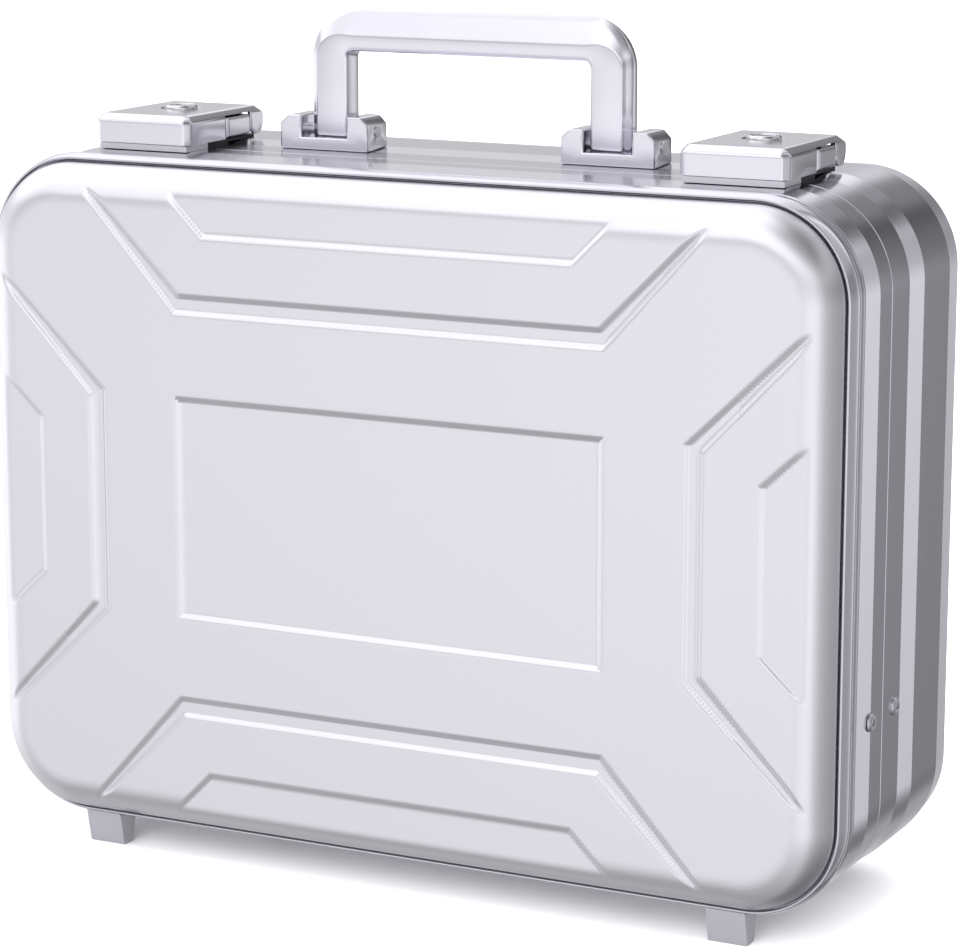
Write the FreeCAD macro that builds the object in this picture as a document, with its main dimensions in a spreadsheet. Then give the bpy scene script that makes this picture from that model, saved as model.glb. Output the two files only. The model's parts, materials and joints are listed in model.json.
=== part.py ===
"""Hard aluminium carrying case for a small drone, standing on its hinge side.

The lid is the front half (towards -Y), the base is the back half.  Each half is a pressed
sheet shell seated in an extruded frame ring.  +X is the case's right as seen from the front,
+Z is up.  The origin is on the floor under the middle of the case.
"""
import FreeCAD, Part
import Sketcher
import math
import os
from FreeCAD import Placement, Rotation, Vector

os.makedirs("parts", exist_ok=True)
doc = FreeCAD.newDocument("drone_carrying_case")

# ---------------------------------------------------------------- driving dimensions
SIZES = dict(
    # overall
    frame_wide=400.0, frame_tall=295.0, corner_round=42.0,
    dome=14.0, lid_deep=44.0, base_deep=82.0, foot_drop=14.0,
    # sheet shells
    sheet_thick=1.5, shell_round=18.0, skirt_inset=2.6, skirt_deep=20.0, recess=1.8,
    recess_slope=45.0,
    # pressed channels of the shells, measured inwards from the frame's outer flats
    label_in_x=99.5, label_in_z=98.25, channel_in_x=65.3, channel_in_z=64.5,
    channel_wide_x=9.2, channel_wide_z=10.3, step_in_x=33.3, step_in_z=31.5,
    # frame rings: offsets are measured from the outer flats, positive outwards
    bead_deep=12.6, bead_radius=14.0, rim_inset=1.2, groove_inset=1.6, ramp_inset=0.9,
    lid_flat=14.0, base_flat=20.0, band_rise=1.0, ramp_deep=15.0, rear_ramp=16.0,
    wall_ledge=4.1, wall_thin=2.4, flange_inset=6.8, lid_flange=6.0, base_flange=6.5,
    flange_slope=2.0,
    tongue_thick=1.6, tongue_long=2.2, tongue_inset=2.7, seam_gap=0.4,
    tongue_room=0.6, channel_deep=4.5, seal_thick=2.0,
    # handle
    handle_span=152.0, handle_rise=62.0, grip_tall=19.0, leg_wide=18.5, leg_deep=12.0,
    handle_bend=20.0, handle_bevel=2.4, handle_back=24.6, pin_up=8.4, pin_radius=2.5,
    bracket_mid=67.5, bracket_wide=43.0, bracket_deep=18.4, bracket_tall=15.0,
    slot_wide=22.5, sill_thick=2.8, sill_up=5.4, slot_floor=1.8,
    # latches, sizes taken from the seam and from the top flat of the frames
    latch_in=61.7, latch_wide=48.0, latch_fore=20.0, latch_aft=44.0, latch_low=3.0,
    latch_tall=12.5, latch_bevel=3.0, latch_wall=2.0, latch_roof=2.5, barrel_round=5.4,
    plate_thick=2.4, strike_thick=2.6, key_radius=6.0, key_mid=14.0,
    button_long=19.6, button_mid=22.8, button_tall=8.8, button_proud=0.4, button_travel=2.5,
    # folding lid stays
    stay_out=14.0, stay_up=79.5, stay_long=80.0, stay_wide=12.0, stay_thick=2.2,
    stay_layer=7.6, stay_gap=0.6,
    # hinges and feet
    hinge_in=88.0, hinge_wide=43.0, hinge_drop=4.5, leaf_thick=2.3, knuckle_radius=3.5,
    hinge_pin=1.5, foot_in=50.0, foot_wide=17.6, foot_top=14.5, foot_sole=7.0,
    # foam
    foam_side=15.5, foam_edge=7.4, base_foam_front=3.0, lid_foam_back=9.0,
    # clearances of running fits
    fit=0.05,
)

sheet = doc.addObject("Spreadsheet::Sheet", "Sizes")
for row, (alias, value) in enumerate(SIZES.items(), 1):
    sheet.set("A%d" % row, alias)
    sheet.set("B%d" % row, repr(value))
    sheet.setAlias("B%d" % row, alias)
doc.recompute()


class Size(float):
    """A number that remembers the spreadsheet formula it comes from."""

    def __new__(cls, value, text=None):
        self = float.__new__(cls, value)
        self.text = text if text is not None else ("(%r)" % float(value))
        return self

    def _join(self, other, sign, value, swap=False):
        other = other if isinstance(other, Size) else Size(other)
        left, right = (other, self) if swap else (self, other)
        return Size(value, "(%s %s %s)" % (left.text, sign, right.text))

    def __add__(self, other):
        return self._join(other, "+", float(self) + float(other))

    def __radd__(self, other):
        return self._join(other, "+", float(other) + float(self), True)

    def __sub__(self, other):
        return self._join(other, "-", float(self) - float(other))

    def __rsub__(self, other):
        return self._join(other, "-", float(other) - float(self), True)

    def __mul__(self, other):
        return self._join(other, "*", float(self) * float(other))

    def __rmul__(self, other):
        return self._join(other, "*", float(other) * float(self), True)

    def __truediv__(self, other):
        return self._join(other, "/", float(self) / float(other))

    def __neg__(self):
        return Size(-float(self), "(0 - %s)" % self.text)


def root(number):
    return Size(math.sqrt(number), "sqrt(%s)" % number.text)


def bind(thing, prop, number):
    """Tie one property, or one sketch datum, to the spreadsheet."""
    if isinstance(number, Size):
        thing.setExpression(prop, number.text)


class Sheet:
    """Reads each driving dimension back from the spreadsheet by its alias."""

    def __getattr__(self, alias):
        return Size(float(sheet.get(alias)), "Sizes." + alias)


S = Sheet()

# ---------------------------------------------------------------- sketch and feature helpers
PLANES = {"top": "XY_Plane", "front": "XZ_Plane", "side": "YZ_Plane"}


def new_body(label):
    thing = doc.addObject("PartDesign::Body", label)
    thing.Label = label
    return thing


def new_sketch(body, plane, offset=0.0):
    """A sketch on one of the body's own origin planes, moved along that plane's normal.

    top looks down +Z (x, y), side looks along X (y, z), front has its normal along -Y (x, z).
    """
    made = body.newObject("Sketcher::SketchObject", body.Name + "_" + plane)
    role = PLANES[plane]
    support = [o for o in body.Origin.OriginFeatures if o.Role == role][0]
    made.AttachmentSupport = [(support, "")]
    made.MapMode = "FlatFace"
    made.AttachmentOffset = Placement(Vector(0, 0, float(offset)), Rotation())
    bind(made, "AttachmentOffset.Base.z", offset)
    return made


def constrain(sketch, *args):
    """Adds one constraint; a Size as its datum is bound to the spreadsheet."""
    datum = args[-1]
    if isinstance(datum, float):
        index = sketch.addConstraint(Sketcher.Constraint(*args[:-1], float(datum)))
        bind(sketch, "Constraints[%d]" % index, datum)
    else:
        index = sketch.addConstraint(Sketcher.Constraint(*args))
    return index


def outline(sketch, points):
    """A closed outline.  Each point is (a, b), or (a, b, radius) where the edge that arrives
    at it is an arc; a positive radius bulges to the right of the direction of travel."""
    first = sketch.GeometryCount
    count = len(points)
    ends = []
    for i, point in enumerate(points):
        last = points[i - 1]
        p0, p1 = Vector(last[0], last[1], 0), Vector(point[0], point[1], 0)
        if len(point) == 3:
            radius = float(point[2])
            chord = p1 - p0
            half = chord.Length / 2.0
            right = Vector(chord.y, -chord.x, 0).normalize()
            side = 1.0 if radius > 0 else -1.0
            sag = abs(radius) - math.sqrt(radius * radius - half * half)
            middle = (p0 + p1) * 0.5 + right * (side * sag)
            arc = Part.Arc(p0, middle, p1) if side > 0 else Part.Arc(p1, middle, p0)
            geo = sketch.addGeometry(arc, False)
            start = sketch.Geometry[geo].StartPoint
            flip = (start - p0).Length > 1e-6
            ends.append((geo, 2 if flip else 1, 1 if flip else 2))
        else:
            geo = sketch.addGeometry(Part.LineSegment(p0, p1), False)
            ends.append((geo, 1, 2))
    for i in range(count):
        here, there = ends[i], ends[(i + 1) % count]
        constrain(sketch, "Coincident", here[0], here[2], there[0], there[1])
    for (geo, _, end), point in zip(ends, points):
        constrain(sketch, "DistanceX", geo, end, point[0] * 1.0)
        constrain(sketch, "DistanceY", geo, end, point[1] * 1.0)
        if len(point) == 3:
            size = point[2] if point[2] > 0 else -point[2]
            constrain(sketch, "Radius", geo, size * 1.0)
    return first


def box_outline(sketch, a0, a1, b0, b1):
    outline(sketch, [(a0, b0), (a1, b0), (a1, b1), (a0, b1)])


def circle(sketch, a, b, radius):
    geo = sketch.addGeometry(Part.Circle(Vector(a, b, 0), Vector(0, 0, 1), float(radius)), False)
    constrain(sketch, "DistanceX", geo, 3, a * 1.0)
    constrain(sketch, "DistanceY", geo, 3, b * 1.0)
    constrain(sketch, "Radius", geo, radius * 1.0)


def round_box(sketch, a0, a1, b0, b1, r):
    """Rounded rectangle from a0 to a1 and b0 to b1, starting half way up its right side."""
    middle = (b0 + b1) / 2.0
    outline(sketch, [(a1, middle), (a1, b1 - r), (a1 - r, b1, r), (a0 + r, b1), (a0, b1 - r, r),
                     (a0, b0 + r), (a0 + r, b0, r), (a1 - r, b0), (a1, b0 + r, r)])


def pad(body, sketch, length, both=False, back=False):
    made = body.newObject("PartDesign::Pad", sketch.Name + "_pad")
    made.Profile = sketch
    made.Length = float(length)
    bind(made, "Length", length * 1.0)
    made.Reversed = back
    if both:
        made.SideType = "Symmetric"
    return made


def pocket(body, sketch, length=None, both=False, back=False):
    made = body.newObject("PartDesign::Pocket", sketch.Name + "_pocket")
    made.Profile = sketch
    if length is None:
        made.Type = "ThroughAll"
    else:
        made.Length = float(length)
        bind(made, "Length", length * 1.0)
    made.Reversed = back
    if both:
        made.SideType = "Symmetric"
    return made


def sweep(body, section, path):
    made = body.newObject("PartDesign::AdditivePipe", body.Name + "_ring")
    made.Profile = section
    made.Spine = (path, [])
    return made


def dress(body, kind, feature, test, size):
    """Fillet or Chamfer on the edges of a feature that pass the test."""
    doc.recompute()
    names = ["Edge%d" % (i + 1) for i, e in enumerate(feature.Shape.Edges) if test(e)]
    if not names:
        raise RuntimeError("no edges to dress on " + feature.Name)
    made = body.newObject("PartDesign::" + kind, feature.Name + "_" + kind)
    made.Base = (feature, names)
    prop = "Radius" if kind == "Fillet" else "Size"
    setattr(made, prop, float(size))
    bind(made, prop, size * 1.0)
    return made


def near(value, target, slack=1e-4):
    return abs(value - float(target)) < slack


def flat_at(edge, axis, target):
    """True when the whole edge lies in the plane axis = target."""
    box = edge.BoundBox
    low, high = getattr(box, axis + "Min"), getattr(box, axis + "Max")
    return near(low, target) and near(high, target)


def place(thing, x=0.0, y=0.0, z=0.0, turn=0.0):
    thing.Placement = Placement(Vector(x, y, z), Rotation(Vector(0, 0, 1), float(turn)))
    for axis, number in (("x", x), ("y", y), ("z", z)):
        bind(thing, "Placement.Base." + axis, number)


NODES = []


def node(thing, *where, **how):
    place(thing, *where, **how)
    NODES.append(thing)
    return thing


def group(label, pieces):
    """Several loose solids of one kind, such as rivets, in one node."""
    made = doc.addObject("Part::Compound", label)
    made.Label = label
    made.Links = pieces
    NODES.append(made)
    return made


# ---------------------------------------------------------------- shared positions
half_wide = S.frame_wide / 2
half_tall = S.frame_tall / 2
centre_up = S.foot_drop + half_tall
top_up = S.foot_drop + S.frame_tall
depth = S.dome * 2 + S.lid_deep + S.base_deep
rim = -(depth / 2 - S.dome)                    # outer edge of either frame, in its own frame
seam = -(depth / 2) + S.dome + S.lid_deep      # where lid and base meet, along Y
axis_up = S.foot_drop - S.hinge_drop           # height of the hinge axis
latch_mid = half_wide - S.latch_in
hinge_mid = half_wide - S.hinge_in
foot_mid = half_wide - S.foot_in
flush = Size(0.0)                              # level with the outer flats of the frames
SIDES = (("left", -1.0), ("right", 1.0))


# ---------------------------------------------------------------- pressed shells
def shell(label, turn):
    """A pressed half: soft-edged dome, skirt, and the pressed channels of its face."""
    body = new_body(label)
    start = -rim - S.skirt_deep
    inset = S.skirt_inset
    face = depth / 2
    base = new_sketch(body, "front", start)
    round_box(base, inset - half_wide, half_wide - inset, inset - half_tall, half_tall - inset,
              S.corner_round - inset)
    block = pad(body, base, face - start)
    soft = dress(body, "Fillet", block, lambda e: flat_at(e, "Y", -face), S.shell_round)
    doc.recompute()
    open_face = ["Face%d" % (i + 1) for i, f in enumerate(soft.Shape.Faces)
                 if near(f.BoundBox.YMin, -start) and near(f.BoundBox.YMax, -start)]
    skin = body.newObject("PartDesign::Thickness", label + "_skin")
    skin.Base = (soft, open_face)
    skin.Value = float(S.sheet_thick)
    bind(skin, "Value", S.sheet_thick * 1.0)
    skin.Reversed = True
    doc.recompute()

    label_x, label_z = float(half_wide - S.label_in_x), float(half_tall - S.label_in_z)
    inner_x, inner_z = float(half_wide - S.channel_in_x), float(half_tall - S.channel_in_z)
    outer_x, outer_z = inner_x + float(S.channel_wide_x), inner_z + float(S.channel_wide_z)
    step_x, step_z = float(half_wide - S.step_in_x), float(half_tall - S.step_in_z)
    bend = 0.4        # share of a field's growth that its slanted corners take
    side_end = 4.0    # the side channels and steps start this far inside the label's corners
    step_end = 14.0

    def channels(grow, reach_x, reach_z):
        """Outlines of the pressed fields, grown all round, cut off at the given reach."""
        shapes = [[(-label_x - grow, -label_z - grow), (label_x + grow, -label_z - grow),
                   (label_x + grow, label_z + grow), (-label_x - grow, label_z + grow)]]
        half = grow * 0.5
        for up in (1, -1):
            low, high, step = inner_z - grow, outer_z + grow, step_z - grow
            near_x, far_x = label_x + bend * grow, label_x - 3.2 - bend * grow
            run_low, run_high = (reach_z - low) * 0.9 + near_x, reach_z - high + far_x
            shapes.append([(-near_x, up * low), (near_x, up * low),
                           (run_low + half, up * reach_z), (run_high - half, up * reach_z),
                           (far_x, up * high), (-far_x, up * high),
                           (half - run_high, up * reach_z), (-run_low - half, up * reach_z)])
            start = label_x - step_end + bend * grow
            end = start + reach_z - step
            shapes.append([(-start, up * step), (start, up * step),
                           (end, up * reach_z), (-end, up * reach_z)])
            low, high, step = inner_x - grow, outer_x + grow, step_x - grow
            near_z, far_z = label_z + bend * grow, label_z - side_end - bend * grow
            run_low, run_high = (reach_x - low) * 0.96 + near_z, (reach_x - high) * 1.05 + far_z
            shapes.append([(up * low, -near_z), (up * low, near_z),
                           (up * reach_x, run_low + half), (up * reach_x, run_high - half),
                           (up * high, far_z), (up * high, -far_z),
                           (up * reach_x, half - run_high), (up * reach_x, -run_low - half)])
            start = label_z - step_end + bend * grow
            end = start + (reach_x - step) * 0.93
            shapes.append([(up * step, -start), (up * step, start),
                           (up * reach_x, end), (up * reach_x, -end)])
        return shapes

    backing = new_sketch(body, "front", face - S.sheet_thick)
    soft_edge = float(inset + S.shell_round) - 7.0
    edge_x, edge_z = float(half_wide) - soft_edge, float(half_tall) - soft_edge
    run_off = 14.0
    for points in channels(float(S.sheet_thick), edge_x, edge_z):
        outline(backing, points)
    pad(body, backing, S.recess, back=True)
    cut = new_sketch(body, "front", face)
    for points in channels(0.0, edge_x + run_off, edge_z + run_off):
        outline(cut, points)
    pressed = pocket(body, cut, S.recess)
    pressed.TaperAngle = -float(S.recess_slope)
    return node(body, 0.0, 0.0, centre_up, turn=turn)


lid_shell = shell("lid_shell", 0.0)
base_shell = shell("base_shell", 180.0)


# ---------------------------------------------------------------- extruded frame rings
def ring(body, section_points):
    """Sweeps a section, given as (outward offset, distance from the rim), round the case."""
    path = new_sketch(body, "front")
    round_box(path, -half_wide, half_wide, -half_tall, half_tall, S.corner_round)
    section = new_sketch(body, "top")
    outline(section, [(half_wide + p[0], rim + p[1]) + tuple(p[2:]) for p in section_points])
    return sweep(body, section, path)


lid_face = S.lid_deep - S.seam_gap / 2
bead_end = S.bead_deep
tongue_out = S.tongue_inset
tongue_in = S.tongue_inset + S.tongue_thick
lid_frame = new_body("lid_frame")
lid_ring = ring(lid_frame, [
    (-S.skirt_inset + 0.6, 0.0), (-S.rim_inset, 0.0), (-S.rim_inset, bead_end, S.bead_radius),
    (-S.groove_inset, bead_end + 0.6), (-S.groove_inset, bead_end + 2.6),
    (-S.ramp_inset, bead_end + 3.2), (flush, S.lid_deep - S.lid_flat),
    (flush, lid_face - 0.5), (flush - 0.5, lid_face),
    (-tongue_out, lid_face), (-tongue_out, S.lid_deep + S.tongue_long),
    (-tongue_in, S.lid_deep + S.tongue_long), (-tongue_in, lid_face),
    (-S.flange_inset, lid_face), (-S.flange_inset, S.lid_deep - S.lid_flange),
    (-S.wall_ledge, S.lid_deep - S.lid_flange - S.flange_slope), (-S.wall_ledge, S.skirt_deep),
    (-S.skirt_inset, S.skirt_deep), (-S.skirt_inset, S.skirt_deep * 0.1)])

base_face = S.base_deep - S.seam_gap / 2
slot_out = tongue_out - S.tongue_room
slot_in = tongue_in + S.tongue_room
slot_floor = base_face - S.channel_deep
base_frame = new_body("base_frame")
base_ring = ring(base_frame, [
    (-S.skirt_inset + 0.6, 0.0), (-S.rim_inset, 0.0), (-S.rim_inset + 0.8, 1.6),
    (S.band_rise * 1.0, S.rear_ramp * 1.0),
    (S.band_rise * 1.0, S.base_deep - S.base_flat - S.ramp_deep),
    (flush, S.base_deep - S.base_flat), (flush, base_face - 0.5),
    (flush - 0.5, base_face), (-slot_out, base_face), (-slot_out, slot_floor),
    (-slot_in, slot_floor), (-slot_in, base_face), (-S.flange_inset, base_face),
    (-S.flange_inset, S.base_deep - S.base_flange),
    (-S.wall_thin, S.base_deep - S.base_flange - S.flange_slope),
    (-S.wall_thin, S.skirt_deep + 6.0), (-S.wall_ledge, S.skirt_deep + 4.0),
    (-S.wall_ledge, S.skirt_deep * 1.0), (-S.skirt_inset, S.skirt_deep * 1.0),
    (-S.skirt_inset, S.skirt_deep * 0.1)])

lid_seal = new_body("lid_seal")
ring(lid_seal, [(-slot_out, slot_floor), (-slot_out, slot_floor + S.seal_thick),
                (-slot_in, slot_floor + S.seal_thick), (-slot_in, slot_floor)])
node(lid_seal, 0.0, 0.0, centre_up, turn=180.0)


# ---------------------------------------------------------------- loose round pieces
def cylinder(name, radius, length, x, y, z, axis):
    made = doc.addObject("Part::Cylinder", name)
    made.Radius, made.Height = float(radius), float(length)
    bind(made, "Radius", radius * 1.0)
    bind(made, "Height", length * 1.0)
    turn = {"z": Rotation(), "x": Rotation(Vector(0, 1, 0), 90)}[axis]
    made.Placement = Placement(Vector(x, y, z), turn)
    for letter, number in (("x", x), ("y", y), ("z", z)):
        bind(made, "Placement.Base." + letter, number)
    return made


def stud(name, steps, x, y, z, axis):
    """A turned pin: each step is (radius, start, end) along its axis from the given point."""
    rounds = []
    for i, (radius, start, end) in enumerate(steps):
        at = dict(x=x, y=y, z=z)
        at[axis] = at[axis] + start
        step_name = name if len(steps) == 1 else "%s_%d" % (name, i)
        rounds.append(cylinder(step_name, radius, end - start, axis=axis, **at))
    if len(rounds) == 1:
        return rounds[0]
    made = doc.addObject("Part::MultiFuse", name)
    made.Shapes = rounds
    return made


def drill(body, plane, offset, spots, radius, length=None, both=False, back=False):
    """Round holes of one radius at (a, b) spots of one sketch plane."""
    holes = new_sketch(body, plane, offset)
    for a, b in spots:
        circle(holes, a, b, radius)
    return pocket(body, holes, length, both=both, back=back)


# ---------------------------------------------------------------- fastener positions
rivet_radius = Size(1.6)
screw_radius = Size(2.0)
handle_y = seam + S.handle_back
latch_screws = [(-12.0, seam + 12.0), (12.0, seam + 12.0), (-9.0, seam + 33.5),
                (9.0, seam + 33.5)]
strike_screws = [(-18.5, seam - 5.0), (18.5, seam - 5.0)]
bracket_screws = [(-16.5, handle_y), (16.5, handle_y)]
leaf_rivets = (-15.0, 0.0, 15.0)
lid_leaf_y = seam - 11.0
base_leaf_y = seam + 14.0
stay_y = {"lid": seam - S.stay_out, "base": seam + S.stay_out}
stay_z = S.stay_up - half_tall

lid_top = [(sx * latch_mid + a, b) for _, sx in SIDES for a, b in strike_screws]
lid_low = [(sx * hinge_mid + a, lid_leaf_y) for _, sx in SIDES for a in leaf_rivets]
base_top = [(sx * latch_mid + a, b) for _, sx in SIDES for a, b in latch_screws]
base_top += [(sx * S.bracket_mid + a, b) for _, sx in SIDES for a, b in bracket_screws]
base_low = [(sx * hinge_mid + a, base_leaf_y) for _, sx in SIDES for a in leaf_rivets]

drill(lid_frame, "top", half_tall - 12.0, lid_top, rivet_radius, Size(16.0), back=True)
drill(lid_frame, "top", -half_tall - 4.0, lid_low, rivet_radius, Size(16.0), back=True)
drill(lid_frame, "side", 0.0, [(stay_y["lid"], stay_z)], screw_radius, both=True)
node(lid_frame, 0.0, 0.0, centre_up)


def turned(spots):
    """The same spots as seen by a body that is turned half round about Z."""
    return [(-a, -b) for a, b in spots]


drill(base_frame, "top", half_tall - 12.0, turned(base_top), rivet_radius, Size(16.0), back=True)
drill(base_frame, "top", -half_tall - 4.0, turned(base_low), rivet_radius, Size(16.0), back=True)
drill(base_frame, "side", 0.0, [(-stay_y["base"], stay_z)], screw_radius, both=True)
node(base_frame, 0.0, 0.0, centre_up, turn=180.0)

# ---------------------------------------------------------------- carrying handle
handle = new_body("handle")
outer_x = S.handle_span / 2
inner_x = outer_x - S.leg_wide
crown, inner_top = S.handle_rise * 1.0, S.handle_rise - S.grip_tall
leg_end = S.pin_up - S.leg_deep / 2
bend, inner_bend = S.handle_bend, Size(5.0)
arch = new_sketch(handle, "front", -handle_y)
outline(arch, [(outer_x, leg_end), (outer_x, crown - bend), (outer_x - bend, crown, bend),
               (bend - outer_x, crown), (-outer_x, crown - bend, bend), (-outer_x, leg_end),
               (-inner_x, leg_end), (-inner_x, inner_top - inner_bend),
               (inner_bend - inner_x, inner_top, -inner_bend),
               (inner_x - inner_bend, inner_top),
               (inner_x, inner_top - inner_bend, -inner_bend), (inner_x, leg_end)])
bar = pad(handle, arch, S.leg_deep, both=True)


def handle_edge(edge):
    box = edge.BoundBox
    flush = abs(abs(box.YMin - float(handle_y)) - float(S.leg_deep) / 2) < 1e-4
    return flush and near(box.YMin, box.YMax) and box.ZMax > float(leg_end) + 0.1


dress(handle, "Chamfer", bar, handle_edge, S.handle_bevel)
toes = new_sketch(handle, "side")
half_leg = S.leg_deep / 2
outline(toes, [(handle_y - half_leg - 1.0, leg_end - 1.0), (handle_y + half_leg + 1.0, leg_end - 1.0),
               (handle_y + half_leg + 1.0, S.pin_up * 1.0), (handle_y + half_leg, S.pin_up * 1.0),
               (handle_y * 1.0, leg_end * 1.0, -half_leg),
               (handle_y - half_leg, S.pin_up * 1.0, -half_leg),
               (handle_y - half_leg - 1.0, S.pin_up * 1.0)])
pocket(handle, toes, both=True)
drill(handle, "side", 0.0, [(handle_y, S.pin_up)], S.pin_radius + S.fit, both=True)
node(handle, 0.0, 0.0, top_up)

pins = []
for side, sx in SIDES:
    bracket = new_body("handle_bracket_" + side)
    fore, aft = handle_y - S.bracket_deep / 2, handle_y + S.bracket_deep / 2
    flat_end = seam + S.base_flat
    rise = S.band_rise * (aft - flat_end) / S.ramp_deep
    profile = new_sketch(bracket, "side")
    outline(profile, [(fore, 0.0), (flat_end, 0.0), (aft, rise), (aft, S.bracket_tall * 1.0),
                      (fore, S.bracket_tall * 1.0)])
    block = pad(bracket, profile, S.bracket_wide, both=True)
    half_bracket = S.bracket_wide / 2
    dress(bracket, "Chamfer", block, lambda e: near(abs(e.BoundBox.XMin), half_bracket)
          and near(e.BoundBox.XMin, e.BoundBox.XMax) and e.BoundBox.ZMin > 1.2, 3.6)
    gap = new_sketch(bracket, "side")
    behind = fore + S.sill_thick
    outline(gap, [(behind, S.slot_floor * 1.0), (aft + 1.0, S.slot_floor * 1.0),
                  (aft + 1.0, S.bracket_tall + 1.0), (fore - 1.0, S.bracket_tall + 1.0),
                  (fore - 1.0, S.sill_up * 1.0), (behind, S.sill_up * 1.0)])
    pocket(bracket, gap, S.slot_wide, both=True)
    drill(bracket, "side", 0.0, [(handle_y, S.pin_up)], S.pin_radius, both=True)
    drill(bracket, "top", -0.5, bracket_screws, rivet_radius, Size(8.0), back=True)
    node(bracket, sx * S.bracket_mid, 0.0, top_up)
    pins.append(stud("handle_pin_" + side, [(S.pin_radius, -half_bracket - 0.7,
                                             half_bracket + 0.7)],
                     sx * S.bracket_mid, handle_y, top_up + S.pin_up, "x"))
group("handle_pins", pins)

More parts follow.
